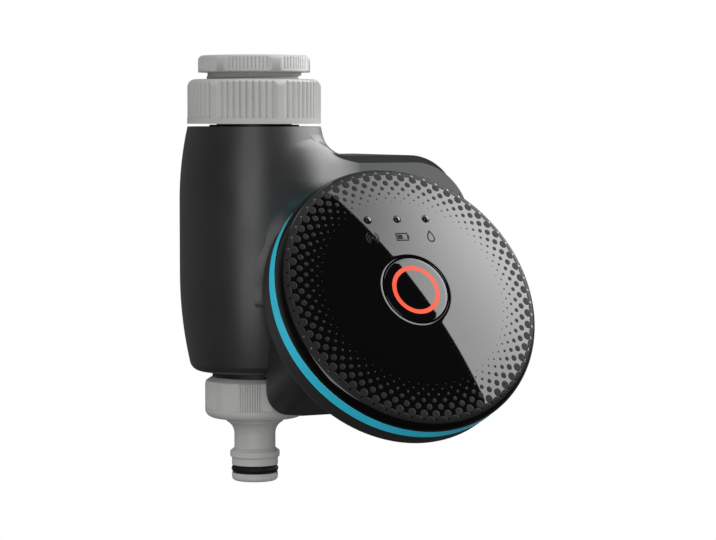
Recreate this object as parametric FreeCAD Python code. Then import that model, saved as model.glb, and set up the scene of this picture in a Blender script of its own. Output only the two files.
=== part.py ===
import FreeCAD, Part
import math
import os

# Smart irrigation controller that hangs from a garden tap. Lengths are in millimetres.
# The origin is the centre of the inlet mouth, +Z runs up the water axis, and the control
# head looks towards -Y. Threads are plain cylinders at their major radius.

V = FreeCAD.Vector
UP = V(0, 0, 1)
DOWN = V(0, 0, -1)
BACKWARD = V(0, 1, 0)

# Clearances
RUN_GAP = 0.3        # between pieces that turn or slide past each other
THREAD_GAP = 0.3     # radial, between a male and a female thread cylinder
GUIDE_GAP = 0.2      # radial, plunger and button guides
SEAT_GAP = 0.1       # loose seat of a fixed piece in its pocket

# Standard threads and washers
TAP_THREAD_R = 13.22     # G3/4
NUT_THREAD_R = 16.62     # G1
WASHER_H = 2.2
WASHER_BORE_R = 9.0

# Thread adapter
FLANGE_R = 19.3
FLANGE_H = 5.8
FLANGE_ROUND = 1.8
FLANGE_PANEL = 0.7
FLANGE_RIB = 0.35
FLANGE_RIBS = 10
FLANGE_RIB_SPAN = 40.0
FLANGE_RIDGE_SPAN = 12.0
SOCKET_DEPTH = 12.0
UNDERCUT = 0.4
ADAPTER_BORE_R = 9.0

# Union nut
THREAD_SHOWN = 2.4
NUT_R = 23.1
NUT_H = 15.3
NUT_LIP_H = 2.1
NUT_ROUND = 2.8
NUT_PANEL = 1.1
NUT_RIB = 0.6
NUT_RIBS = 8
NUT_RIB_SPAN = 46.0
NUT_RIDGE_SPAN = 6.0
GRIP_BAND = 2.0
GRIP_PHASE = 28.0
GRIP_LOBES = 6

# Water body
SPIGOT_R = 13.0
SPIGOT_BORE_R = 9.5
SPIGOT_FLANGE_R = 16.2
SPIGOT_FLANGE_H = 2.3
FILTER_RIM_R = 12.4
FILTER_RIM_H = 1.0
FILTER_DEPTH = 22.0
FILTER_WALL = 0.8
FILTER_TIP_R = 4.5
INLET_DEPTH = 63.6
OUTLET_BORE_R = 8.0
OUTLET_START = 67.6
OUTLET_COLLAR_R = 14.7
OUTLET_SPIGOT = 11.2
DUCT_WALL = 2.2
DUCT_W = 11.0
DUCT_H = 9.0

# Barrel of the housing
NECK_SHOWN = 0.9
NECK_R = 15.5
BARREL_H = 84.9
BARREL_TOP_R = 23.05
BARREL_R = 25.85
BARREL_TOP_CURVE = 25.6
BARREL_FOOT_R = 22.4
BARREL_FOOT_CURVE = 31.0
BARREL_FOOT_H = 3.3
BARREL_FOOT_ROUND = 3.9
BARREL_FOOT_DISH = 0.5
COLLAR_SHOWN = 1.3
WALL = 2.2
BACK_WALL = 3.0
PARTING_Y = 5.7

# Block that joins the barrel to the control head
BLOCK_DROP = 10.0
BLOCK_RIGHT = 70.0
BLOCK_LEFT = 4.0
BLOCK_LEG = 22.0
BLOCK_LEG_CORNER = 8.0
BLOCK_LEFT_CORNER = 16.0
BLOCK_BACK = 23.0
BLOCK_BELOW = 14.1
BLOCK_CORNER = 20.0
BLOCK_FOOT_CORNER = 10.0
BLOCK_EDGE = 2.0
FLARE_R = 9.0
FLARE_BACK = 3.0
SHOULDER_EDGE_R = 8.0
SLOPE_BLEND_R = 15.0
WALL_BLEND_R = 9.0
BLEND_START_X = 19.0
BLEND_SINK = 0.04
BLEND_ROOT = 1.5
SLOPE_STEPS = 6
EDGE_STEPS = 8
CREASE_Y = -19.9
CREASE_DROP = 2.6
SHOULDER_TILT = 22.3
SHOULDER_LEFT = -5.5
SHOULDER_CORNER = 17.3
LOBE_CORNER = 8.0
SHOULDER_REACH = 80.0
NUT_ROOM_R = 21.5
NUT_ROOM_DEPTH = 60.0

# Control head, tilted back, in its own axes: z out of the face, y up the face
HEAD_X = 32.9
HEAD_Y = -49.4
HEAD_DROP = 57.9
HEAD_TILT = 27.94
DRUM_R = 47.5
DRUM_DEPTH = 13.1
DRUM_ROUND = 2.5
PASSAGE_DEPTH = 12.0
RING_PROUD = 0.3
RING_W = 5.3
RING_LIP = 2.8
RING_FLOOR = 1.0
RING_EDGE = 0.5
SPIGOT_DEEP = 4.8
SPIGOT_THICK = 2.6
LEDGE_W = 2.5
LEDGE_H = 1.5
PLATE_PROUD = 0.4
PLATE_EDGE_H = 4.1
PLATE_RISE = 3.8
PLATE_WALL = 2.0
PLATE_ROUND = 3.6
BUTTON_R = 11.8
BUTTON_WALL = 1.8
BUTTON_SKIRT = 6.4
BUTTON_GAP = 0.4
BUTTON_TRAVEL = 0.8
GLOW_OUTER_R = 8.75
GLOW_INNER_R = 7.2
GLOW_DEPTH = 1.2
PIPE_R = 1.4
PIPE_FOOT_R = 2.1
PIPE_FOOT_H = 2.5
PIPE_RECESS = 0.3
PIPE_X = 11.1
PIPE_Y = 26.6
BOARD_DEPTH = 7.0
BOARD_GAP = 0.5
BOARD_H = 1.6
LIGHT_W = 3.0
LIGHT_H = 1.2
SWITCH_W = 6.2
SWITCH_H = 3.4
SWITCH_PIN_R = 1.7
SWITCH_PIN_OUT = 2.6
SWITCH_PIN_IN = 1.2
MODULE_W = 18.0
MODULE_L = 15.0
MODULE_H = 2.4
MODULE_DROP = 20.0
BOARD_SCREW_INSET = 4.5
BOARD_SCREW_R = 1.1
BOARD_LUG_R = 3.0
BOARD_LUG_RISE = 1.0

# Valve on the side of the water body
VALVE_X = 36.0
VALVE_Y = -12.0
SEAT_DEPTH = 48.6
SEAT_R = 6.5
SEAT_BORE_R = 4.8
CUP_R = 15.5
CUP_BORE_R = 11.0
CUP_DEPTH = 16.0
CUP_FLOOR = 2.2
EAR_R = 3.2
EAR_OFFSET = 12.4
EAR_H = 6.0
MEMBRANE_R = 12.9
MEMBRANE_H = 1.3
PLATE_DISC_R = 8.6
PLATE_DISC_H = 2.8
BONNET_H = 5.2
BONNET_ROOM_R = 9.6
BONNET_ROOM_H = 3.7
PILOT_WEB = 1.0
PILOT_R = 0.9
GUIDE_R = 4.4
GUIDE_H = 17.8
PLUNGER_R = 3.2
PLUNGER_L = 11.5
PLUNGER_CAP = 1.5
COIL_R = 8.0
COIL_H = 15.8
YOKE_T = 1.2
YOKE_W = 10.0
MAGNET_R = 5.0
MAGNET_H = 2.6
BONNET_SCREW_R = 1.25
SPRING_WIRE = 0.8
SPRING_INSET = 0.6
DISC_RIM = 2.4

# Batteries, stood side by side behind the valve
CELL_R = 7.1
CELL_L = 49.3
CELL_NUB_R = 2.7
CELL_NUB_H = 1.2
CELL_COUNT = 3
CELL_PITCH = 14.5
CELL_X = 29.5
CELL_GAP = 0.3
CONTACT_T = 0.6
CONTACT_W = 9.0
CONTACT_SPRING_R = 3.4
CONTACT_SPRING_H = 2.4
TRAY_WALL = 1.2
TRAY_DROP = 26.0
COVER_T = 1.2
COVER_PLUG = 0.9
COVER_CORNER = 3.0
COVER_TAB_W = 10.0
SEAL_T = 0.6
COVER_SCREW_R = 1.5
SCREW_HEAD_RATIO = 1.85
SCREW_HEAD_H = 1.6

# Housing screws: x, and drop below the barrel's top
BOSS_R = 3.6
BOSS_RIB = 1.5
BOSS_PLACES = ((56.0, 20.6), (62.0, 92.6), (-17.5, 15.6), (-17.5, 73.6))
HOUSING_SCREW_R = 1.45
HOUSING_SCREW_L = 15.0
SCREW_SEAT_Y = 11.0

# Outlet connector
CONN_NUT_R = 17.3
CONN_NUT_H = 14.2
CONN_BAND = 3.2
CONN_PANEL = 0.6
CONN_RIB = 0.35
CONN_RIBS = 9
CONN_RIB_SPAN = 26.0
CONN_RIDGE_SPAN = 6.0
CONN_TOP_BEVEL = 2.6
CONN_FOOT_ROUND = 3.0
SHOULDER_R = 9.8
SHOULDER_H = 1.5
CONE_H = 4.3
NECK_SLIM_R = 7.15
NECK_SLIM_H = 4.9
STOP_R = 8.6
STOP_H = 3.5
TIP_R = 8.0
LAND_H = 2.4
RING_GROOVE_H = 2.8
RING_WIRE_R = 1.3
TIP_H = 2.8
TIP_ROUND = 1.4
CONN_BORE_R = 4.6

# Levels on the water axis, from the top down
NUT_TOP = -(FLANGE_H + THREAD_SHOWN)
NUT_BOTTOM = NUT_TOP - NUT_H
SPIGOT_TOP = NUT_BOTTOM + NUT_LIP_H + RUN_GAP + SPIGOT_FLANGE_H
ADAPTER_BOTTOM = SPIGOT_TOP + WASHER_H + SEAT_GAP
BARREL_TOP = NUT_BOTTOM - NECK_SHOWN
BARREL_BOTTOM = BARREL_TOP - BARREL_H
OUTLET_END = BARREL_BOTTOM - OUTLET_SPIGOT
CONN_TOP = BARREL_BOTTOM - COLLAR_SHOWN - RUN_GAP
CONN_WASHER_TOP = OUTLET_END - SEAT_GAP
CONN_FLOOR = CONN_WASHER_TOP - WASHER_H
BLOCK_TOP = BARREL_TOP - BLOCK_DROP
BLOCK_BOTTOM = BARREL_BOTTOM - BLOCK_BELOW
CREASE_Z = BLOCK_TOP - CREASE_DROP
SEAT_Z = BARREL_TOP - SEAT_DEPTH
MEMBRANE_Z = SEAT_Z + PLATE_DISC_H - MEMBRANE_H - 0.3
CUP_TOP = MEMBRANE_Z + MEMBRANE_H
CUP_BOTTOM = CUP_TOP - CUP_DEPTH - MEMBRANE_H - CUP_FLOOR
BONNET_TOP = CUP_TOP + BONNET_H
GUIDE_TOP = BONNET_TOP + GUIDE_H
PLUNGER_BOTTOM = CUP_TOP + BONNET_ROOM_H + PILOT_WEB
HEAD_CENTRE = V(HEAD_X, HEAD_Y, BARREL_TOP - HEAD_DROP)
HEAD = FreeCAD.Placement(HEAD_CENTRE, FreeCAD.Rotation(V(1, 0, 0), 90 - HEAD_TILT))

# Radii that follow the head's drum
RING_R = DRUM_R + RING_PROUD
PLATE_R = DRUM_R + PLATE_PROUD
RING_BORE_R = PLATE_R - RING_LIP
RING_SPIGOT_R = DRUM_R - WALL - RUN_GAP
RING_INNER_R = RING_SPIGOT_R - SPIGOT_THICK
BOARD_R = RING_INNER_R - BOARD_GAP
BOARD_SCREW_PITCH_R = RING_INNER_R - BOARD_SCREW_INSET

# Battery tray, inside measures
TRAY_X0 = CELL_X - CELL_R - CELL_GAP
TRAY_X1 = CELL_X + (CELL_COUNT - 1) * CELL_PITCH + CELL_R + CELL_GAP
TRAY_Z1 = BARREL_TOP - TRAY_DROP - TRAY_WALL
TRAY_Z0 = TRAY_Z1 - (CELL_L + CELL_NUB_H + 2 * CONTACT_T + CONTACT_SPRING_H)
TRAY_BACK = BLOCK_BACK - BACK_WALL
CELL_Y = TRAY_BACK - CELL_GAP - CELL_R
TRAY_FRONT = CELL_Y - CELL_R - CELL_GAP - TRAY_WALL


def cylinder(radius, bottom, top, x=0.0, y=0.0):
    """Upright cylinder between two levels."""
    return Part.makeCylinder(radius, top - bottom, V(x, y, bottom))


def tube(outer, inner, bottom, top, x=0.0, y=0.0):
    """Upright tube between two levels."""
    return cylinder(outer, bottom, top, x, y).cut(cylinder(inner, bottom - 1, top + 1, x, y))


def box(x0, x1, y0, y1, z0, z1):
    """Box between two corners."""
    return Part.makeBox(x1 - x0, y1 - y0, z1 - z0, V(x0, y0, z0))


def revolve(points):
    """Solid of revolution about the upright axis; a point of three numbers is an arc's middle."""
    edges = []
    start = V(points[0][0], 0, points[0][1])
    first = start
    middle = None
    for point in points[1:]:
        here = V(point[0], 0, point[1])
        if len(point) == 3:
            middle = here
            continue
        if middle is None:
            edges.append(Part.LineSegment(start, here).toShape())
        else:
            edges.append(Part.Arc(start, middle, here).toShape())
        middle = None
        start = here
    edges.append(Part.LineSegment(start, first).toShape())
    solid = Part.Face(Part.Wire(edges)).revolve(V(0, 0, 0), UP, 360)
    solid.rotate(V(0, 0, 0), UP, 180)
    return solid


def arc_radius(rise, height):
    """Radius of an arc that starts upright and moves in by a rise over a height."""
    return (height ** 2 / rise + rise) / 2


def swell(r_far, r_wide, height):
    """Middle of an arc that stands upright at r_wide and reaches r_far after a height."""
    radius = arc_radius(r_wide - r_far, height)
    half = math.asin(height / radius) / 2
    return r_wide - radius * (1 - math.cos(half)), radius * math.sin(half)


def round_outline(x0, x1, z0, z1, corners, y, depth):
    """Prism along Y with rounded corners: bottom left, bottom right, top right, top left."""
    bl, br, tr, tl = corners
    k = 1 - math.sqrt(0.5)
    ends = [
        (V(x0 + bl, y, z0), V(x1 - br, y, z0), V(x1 - br * k, y, z0 + br * k), V(x1, y, z0 + br)),
        (V(x1, y, z0 + br), V(x1, y, z1 - tr), V(x1 - tr * k, y, z1 - tr * k), V(x1 - tr, y, z1)),
        (V(x1 - tr, y, z1), V(x0 + tl, y, z1), V(x0 + tl * k, y, z1 - tl * k), V(x0, y, z1 - tl)),
        (V(x0, y, z1 - tl), V(x0, y, z0 + bl), V(x0 + bl * k, y, z0 + bl * k), V(x0 + bl, y, z0)),
    ]
    edges = []
    for start, corner, middle, end in ends:
        edges.append(Part.LineSegment(start, corner).toShape())
        edges.append(Part.Arc(corner, middle, end).toShape())
    return Part.Face(Part.Wire(edges)).extrude(V(0, depth, 0))


def at_angle(radius, degrees, z):
    """Point at a radius and a turn about the water axis."""
    return V(radius * math.cos(math.radians(degrees)), radius * math.sin(math.radians(degrees)), z)


def grip_prism(r_ridge, r_panel, rib_h, ribs, rib_span, ridge_span, bottom, top):
    """Upright prism with six ridges and, between them, sunk panels of half-round ribs."""
    sector = 360.0 / GRIP_LOBES
    step = rib_span / ribs
    edges = []
    for lobe in range(GRIP_LOBES):
        ridge = GRIP_PHASE + lobe * sector
        panel = ridge + sector / 2 - rib_span / 2
        a = at_angle(r_ridge, ridge - ridge_span / 2, bottom)
        b = at_angle(r_ridge, ridge + ridge_span / 2, bottom)
        c = at_angle(r_panel, panel, bottom)
        edges.append(Part.Arc(a, at_angle(r_ridge, ridge, bottom), b).toShape())
        edges.append(Part.LineSegment(b, c).toShape())
        for rib in range(ribs):
            crest = at_angle(r_panel + rib_h, panel + (rib + 0.5) * step, bottom)
            foot = at_angle(r_panel, panel + (rib + 1) * step, bottom)
            edges.append(Part.Arc(c, crest, foot).toShape())
            c = foot
        end = at_angle(r_ridge, ridge + sector - ridge_span / 2, bottom)
        edges.append(Part.LineSegment(c, end).toShape())
    return Part.Face(Part.Wire(edges)).extrude(V(0, 0, top - bottom))


def screw(radius, length, x, y, z, direction):
    """Pan head screw; the point is under its head and the direction is the way it is driven."""
    shank = Part.makeCylinder(radius, length, V(x, y, z), direction)
    head_r = radius * SCREW_HEAD_RATIO
    under = V(x, y, z) - direction * SCREW_HEAD_H
    head = Part.makeCylinder(head_r, SCREW_HEAD_H, under, direction)
    rim = [edge for edge in head.Edges if edge.Length > 1 and edge.CenterOfMass.distanceToPoint(under) < 0.01]
    return head.makeFillet(SCREW_HEAD_H / 2, rim).fuse(shank).removeSplitter()


# Inlet

def thread_adapter():
    """Flanged reducer: tap thread inside, nut thread outside."""
    grip = grip_prism(
        FLANGE_R, FLANGE_R - FLANGE_PANEL, FLANGE_RIB, FLANGE_RIBS, FLANGE_RIB_SPAN, FLANGE_RIDGE_SPAN,
        -FLANGE_H, 0)
    body = revolve([
        (0, 0), (FLANGE_R - FLANGE_ROUND, 0),
        (FLANGE_R - FLANGE_ROUND * 0.29, -FLANGE_ROUND * 0.29, 0), (FLANGE_R, -FLANGE_ROUND),
        (FLANGE_R, -FLANGE_H), (0, -FLANGE_H)])
    body = body.common(grip)
    band = tube(FLANGE_R, TAP_THREAD_R, -FLANGE_H, -FLANGE_H + GRIP_BAND / 2)
    thread = cylinder(NUT_THREAD_R - THREAD_GAP, ADAPTER_BOTTOM, -FLANGE_H)
    socket = cylinder(TAP_THREAD_R, -SOCKET_DEPTH, 1)
    undercut = cylinder(TAP_THREAD_R + UNDERCUT, -SOCKET_DEPTH, -SOCKET_DEPTH + WASHER_H)
    bore = cylinder(ADAPTER_BORE_R, ADAPTER_BOTTOM - 1, 0)
    solid = body.fuse([band, thread])
    return solid.cut([socket, undercut, bore]).removeSplitter()


def adapter_washer():
    """Flat washer at the bottom of the tap socket."""
    outer = TAP_THREAD_R + UNDERCUT - SEAT_GAP
    return tube(outer, WASHER_BORE_R, -SOCKET_DEPTH, -SOCKET_DEPTH + WASHER_H)


def union_nut():
    """Six-lobed nut that turns on the spigot's flange."""
    rounding = NUT_ROUND * 0.29
    envelope = revolve([
        (0, NUT_TOP), (NUT_R - NUT_ROUND, NUT_TOP), (NUT_R - rounding, NUT_TOP - rounding, 0),
        (NUT_R, NUT_TOP - NUT_ROUND), (NUT_R, NUT_BOTTOM), (0, NUT_BOTTOM)])
    grip = grip_prism(
        NUT_R, NUT_R - NUT_PANEL, NUT_RIB, NUT_RIBS, NUT_RIB_SPAN, NUT_RIDGE_SPAN, NUT_BOTTOM, NUT_TOP)
    body = envelope.common(grip)
    band = tube(NUT_R, NUT_THREAD_R, NUT_BOTTOM, NUT_BOTTOM + GRIP_BAND)
    bore = cylinder(NUT_THREAD_R, NUT_BOTTOM + NUT_LIP_H, NUT_TOP + 1)
    lip = cylinder(SPIGOT_R + RUN_GAP, NUT_BOTTOM - 1, NUT_TOP)
    return body.fuse(band).cut([bore, lip]).removeSplitter()


def inlet_washer():
    """Flat washer between the spigot's flange and the adapter."""
    return tube(SPIGOT_FLANGE_R, WASHER_BORE_R, SPIGOT_TOP, SPIGOT_TOP + WASHER_H)


def inlet_filter():
    """Cone strainer whose rim lies in the spigot's mouth."""
    top_r = SPIGOT_BORE_R - RUN_GAP
    tip = SPIGOT_TOP - FILTER_DEPTH
    rim = SPIGOT_TOP - FILTER_RIM_H
    floor = tip + FILTER_WALL
    return revolve([
        (0, tip), (FILTER_TIP_R, tip), (top_r, rim), (FILTER_RIM_R, rim), (FILTER_RIM_R, SPIGOT_TOP),
        (top_r - FILTER_WALL, SPIGOT_TOP), (FILTER_TIP_R - FILTER_WALL, floor), (0, floor)])


# Water body and valve

def duct(width, height, low, length, start):
    """Square duct from the water axis towards the valve's axis."""
    turn = math.degrees(math.atan2(VALVE_Y, VALVE_X))
    channel = box(start, length, -width / 2, width / 2, low, low + height)
    channel.rotate(V(0, 0, 0), UP, turn)
    return channel


def ears(bottom, top):
    """Four screw ears round the valve's axis."""
    places = [(sx * EAR_OFFSET, sy * EAR_OFFSET) for sx in (-1, 1) for sy in (-1, 1)]
    return [cylinder(EAR_R, bottom, top, VALVE_X + dx, VALVE_Y + dy) for dx, dy in places]


def ear_holes(bottom, top):
    """Holes for the bonnet's screws."""
    places = [(sx * EAR_OFFSET, sy * EAR_OFFSET) for sx in (-1, 1) for sy in (-1, 1)]
    radius = BONNET_SCREW_R + SEAT_GAP
    return [cylinder(radius, bottom, top, VALVE_X + dx, VALVE_Y + dy) for dx, dy in places]


def water_body():
    """One moulding: inlet spigot, valve cup with its seat, ducts and outlet spigot."""
    reach = math.hypot(VALVE_X, VALVE_Y)
    inlet_floor = BARREL_TOP - INLET_DEPTH
    outlet_roof = BARREL_TOP - OUTLET_START
    upper_low = inlet_floor
    lower_low = CUP_BOTTOM - DUCT_WALL - DUCT_H
    outside = [
        cylinder(SPIGOT_FLANGE_R, SPIGOT_TOP - SPIGOT_FLANGE_H, SPIGOT_TOP),
        cylinder(SPIGOT_R, inlet_floor - DUCT_WALL, SPIGOT_TOP),
        cylinder(TAP_THREAD_R - THREAD_GAP, OUTLET_END, inlet_floor),
        cylinder(OUTLET_COLLAR_R, BARREL_BOTTOM - COLLAR_SHOWN, BARREL_BOTTOM + WALL + 1.5),
        cylinder(CUP_R, CUP_BOTTOM, CUP_TOP, VALVE_X, VALVE_Y),
        cylinder(SEAT_R, lower_low - DUCT_WALL, CUP_BOTTOM, VALVE_X, VALVE_Y),
        duct(DUCT_W + 2 * DUCT_WALL, DUCT_H + 2 * DUCT_WALL, upper_low - DUCT_WALL, reach - 5, 0),
        duct(DUCT_W + 2 * DUCT_WALL, DUCT_H + 2 * DUCT_WALL, lower_low - DUCT_WALL, reach + SEAT_R, 0),
    ]
    outside += ears(CUP_TOP - EAR_H, CUP_TOP)
    solid = outside[0].fuse(outside[1:])
    annulus = tube(CUP_BORE_R, SEAT_R, CUP_BOTTOM + CUP_FLOOR, CUP_TOP + 1, VALVE_X, VALVE_Y)
    above_seat = cylinder(SEAT_R + 0.1, SEAT_Z, CUP_TOP + 1, VALVE_X, VALVE_Y)
    inside = [
        cylinder(SPIGOT_BORE_R, inlet_floor, SPIGOT_TOP + 1),
        cylinder(FILTER_RIM_R + SEAT_GAP, SPIGOT_TOP - FILTER_RIM_H, SPIGOT_TOP + 1),
        cylinder(OUTLET_BORE_R, OUTLET_END - 1, outlet_roof),
        annulus,
        above_seat,
        cylinder(MEMBRANE_R + SEAT_GAP, MEMBRANE_Z, CUP_TOP + 1, VALVE_X, VALVE_Y),
        cylinder(SEAT_BORE_R, lower_low, SEAT_Z + 1, VALVE_X, VALVE_Y),
        duct(DUCT_W, DUCT_H, upper_low, reach - CUP_BORE_R + 2, SPIGOT_BORE_R - 3),
        duct(DUCT_W, DUCT_H, lower_low, reach + SEAT_R - DUCT_WALL, 0),
    ]
    inside += ear_holes(CUP_TOP - EAR_H, CUP_TOP + 1)
    return solid.cut(inside).removeSplitter()


def diaphragm():
    """Rubber membrane clamped at its rim."""
    return tube(MEMBRANE_R, PLATE_DISC_R + GUIDE_GAP, MEMBRANE_Z, CUP_TOP, VALVE_X, VALVE_Y)


def diaphragm_plate():
    """Stiff middle of the membrane, closed on the seat."""
    return cylinder(PLATE_DISC_R, SEAT_Z, SEAT_Z + PLATE_DISC_H, VALVE_X, VALVE_Y)


def valve_bonnet():
    """Lid of the valve with the plunger's guide tube."""
    outside = [
        cylinder(CUP_R, CUP_TOP, BONNET_TOP, VALVE_X, VALVE_Y),
        cylinder(GUIDE_R, BONNET_TOP, GUIDE_TOP, VALVE_X, VALVE_Y),
    ]
    outside += ears(CUP_TOP, BONNET_TOP)
    inside = [
        cylinder(BONNET_ROOM_R, CUP_TOP - 1, CUP_TOP + BONNET_ROOM_H, VALVE_X, VALVE_Y),
        cylinder(PILOT_R, CUP_TOP, PLUNGER_BOTTOM + 1, VALVE_X, VALVE_Y),
        cylinder(PLUNGER_R + GUIDE_GAP, PLUNGER_BOTTOM, GUIDE_TOP - PLUNGER_CAP, VALVE_X, VALVE_Y),
    ]
    inside += ear_holes(CUP_TOP - 1, BONNET_TOP + 1)
    return outside[0].fuse(outside[1:]).cut(inside).removeSplitter()


def diaphragm_spring():
    """Spring between the plate and the bonnet."""
    outer = PLATE_DISC_R - DISC_RIM
    foot = SEAT_Z + PLATE_DISC_H
    return tube(outer, outer - SPRING_WIRE, foot, CUP_TOP + BONNET_ROOM_H, VALVE_X, VALVE_Y)


def plunger():
    """Iron plunger that closes the pilot hole."""
    return cylinder(PLUNGER_R, PLUNGER_BOTTOM, PLUNGER_BOTTOM + PLUNGER_L, VALVE_X, VALVE_Y)


def plunger_spring():
    """Return spring above the plunger."""
    outer = PLUNGER_R - SPRING_INSET
    foot = PLUNGER_BOTTOM + PLUNGER_L
    return tube(outer, outer - SPRING_WIRE, foot, GUIDE_TOP - PLUNGER_CAP, VALVE_X, VALVE_Y)


def solenoid_coil():
    """Wound bobbin round the guide tube."""
    return tube(COIL_R, GUIDE_R + SEAT_GAP, BONNET_TOP, BONNET_TOP + COIL_H, VALVE_X, VALVE_Y)


def coil_yoke():
    """Steel strap over the coil."""
    inner = COIL_R + SEAT_GAP
    outer = inner + YOKE_T
    top = BONNET_TOP + COIL_H
    half = YOKE_W / 2
    strap = box(VALVE_X - outer, VALVE_X + outer, VALVE_Y - half, VALVE_Y + half, BONNET_TOP, top + YOKE_T)
    room = box(VALVE_X - inner, VALVE_X + inner, VALVE_Y - YOKE_W, VALVE_Y + YOKE_W, BONNET_TOP - 1, top)
    return strap.cut([room, cylinder(GUIDE_R + SEAT_GAP, BONNET_TOP, top + 5, VALVE_X, VALVE_Y)])


def latch_magnet():
    """Magnet that holds the plunger up without current."""
    return cylinder(MAGNET_R, GUIDE_TOP, GUIDE_TOP + MAGNET_H, VALVE_X, VALVE_Y)


def bonnet_screws():
    """Four screws that clamp the bonnet and the membrane."""
    places = [(sx * EAR_OFFSET, sy * EAR_OFFSET) for sx in (-1, 1) for sy in (-1, 1)]
    length = BONNET_H + EAR_H - 1
    return Part.makeCompound([
        screw(BONNET_SCREW_R, length, VALVE_X + dx, VALVE_Y + dy, BONNET_TOP, DOWN) for dx, dy in places])


# Housing

def barrel(inset):
    """Bulged barrel round the water axis."""
    top = BARREL_TOP - inset
    bottom = BARREL_BOTTOM + inset
    wide = BARREL_R - inset
    neck = BARREL_TOP_R - inset
    foot = BARREL_FOOT_R - inset
    upper = BARREL_TOP - BARREL_TOP_CURVE
    foot_z = BARREL_BOTTOM + BARREL_FOOT_H
    lower = foot_z + BARREL_FOOT_CURVE
    upper_r, upper_dz = swell(neck, wide, BARREL_TOP_CURVE - inset)
    lower_r, lower_dz = swell(foot, wide, BARREL_FOOT_CURVE)
    dish = BARREL_FOOT_DISH
    return revolve([
        (0, top), (neck, top), (upper_r, upper + upper_dz, 0), (wide, upper), (wide, lower),
        (lower_r, lower - lower_dz, 0), (foot, foot_z),
        (foot - 1.2, foot_z - 1.9 + inset * 0.6, 0), (foot - BARREL_FOOT_ROUND, bottom + dish), (0, bottom)])


def shoulder_room(inset):
    """Everything behind the shoulder's slope."""
    normal = slope_normal()
    slab = Part.makeBox(400, 400, 200, V(-200, -200, -200))
    point = V(0, CREASE_Y, CREASE_Z) - normal * inset
    slab.Placement = FreeCAD.Placement(point, FreeCAD.Rotation(UP, normal))
    return slab


def rear_slab(left, right, foot, top, corners, inset, back):
    """Upright slab from the crease's plane to the back; the inset shrinks its outline."""
    radii = [max(radius - inset, 1.0) for radius in corners]
    front = CREASE_Y + inset
    return round_outline(left + inset, right - inset, foot + inset, top - inset, radii, back, front - back)


def rear_block(inset, back):
    """Upright block behind the crease: beside the barrel and, below it, beside the nut."""
    corners = (BLOCK_LEFT_CORNER, BLOCK_FOOT_CORNER, BLOCK_CORNER, 3.0)
    upper = rear_slab(BLOCK_LEFT, BLOCK_RIGHT, BARREL_BOTTOM, BLOCK_TOP, corners, inset, back)
    corners = (BLOCK_LEG_CORNER, BLOCK_FOOT_CORNER, 3.0, 3.0)
    leg_top = BLOCK_TOP - 2 * BLOCK_CORNER
    lower = rear_slab(BLOCK_LEG, BLOCK_RIGHT, BLOCK_BOTTOM, leg_top, corners, inset, back)
    return upper.fuse(lower).removeSplitter()


def shoulder(inset):
    """Prism in front of the barrel's middle, cut by the shoulder's slope."""
    corners = [radius - inset for radius in (LOBE_CORNER, BLOCK_FOOT_CORNER, SHOULDER_CORNER, 3.0)]
    left = SHOULDER_LEFT + inset
    right = BLOCK_RIGHT - inset
    prism = round_outline(left, right, BLOCK_BOTTOM + inset, CREASE_Z - inset, corners, 0, -SHOULDER_REACH)
    reach = 2 * SHOULDER_REACH
    foot = round_outline(left, right, inset, reach, [corners[0], corners[1], 1.0, 1.0], reach / 2, -reach)
    foot.Placement = FreeCAD.Placement(V(0, CREASE_Y, BLOCK_BOTTOM), FreeCAD.Rotation(V(1, 0, 0), -HEAD_TILT))
    prism = prism.common(foot)
    return prism, prism.common(shoulder_room(inset)).cut(shoulder_edge(inset))


def shoulder_edge(inset):
    """What is taken off the slope's left edge to round it."""
    radius = SHOULDER_EDGE_R - inset
    reach = 2 * SHOULDER_REACH
    side = SHOULDER_EDGE_R + 1
    corner = Part.makeBox(side, reach, side, V(-side, -reach / 2, 0))
    core = Part.makeCylinder(radius, reach, V(0, -reach / 2, 0), BACKWARD)
    tool = corner.cut(core)
    place = V(SHOULDER_LEFT + SHOULDER_EDGE_R, CREASE_Y, CREASE_Z) - slope_normal() * SHOULDER_EDGE_R
    tool.Placement = FreeCAD.Placement(place, FreeCAD.Rotation(V(1, 0, 0), 90 - SHOULDER_TILT))
    return tool


def drum(radius, front, back, rounding):
    """Round drum of the control head, between two depths behind the face."""
    solid = Part.makeCylinder(radius, back - front, V(0, 0, -back))
    if rounding > 0:
        rim = [edge for edge in solid.Edges if edge.BoundBox.ZMax < -back + 0.01]
        solid = solid.makeFillet(rounding, rim)
    solid.Placement = HEAD
    return solid


def shared_edges(solid, first, second):
    """Edges of a fused solid that lie on the skins of both of its parts."""
    found = []
    for edge in solid.Edges:
        span = edge.LastParameter - edge.FirstParameter
        points = [Part.Vertex(edge.valueAt(edge.FirstParameter + span * k)) for k in (0.13, 0.5, 0.87)]
        if all(p.distToShape(first)[0] < 0.001 and p.distToShape(second)[0] < 0.001 for p in points):
            found.append(edge)
    return found


def flared_barrel():
    """Barrel with a concave flare where the rear block grows out of it."""
    body = barrel(0)
    foot = BARREL_BOTTOM + BARREL_FOOT_H + FLARE_R
    corners = (3.0, BLOCK_FOOT_CORNER, BLOCK_CORNER, 3.0)
    stub = rear_slab(0, BLOCK_RIGHT, foot, BLOCK_TOP, corners, 0, BLOCK_BACK - FLARE_BACK)
    joined = body.fuse(stub)
    return joined.makeFillet(FLARE_R, shared_edges(joined, body.Shells[0], stub.Shells[0]))


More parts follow.
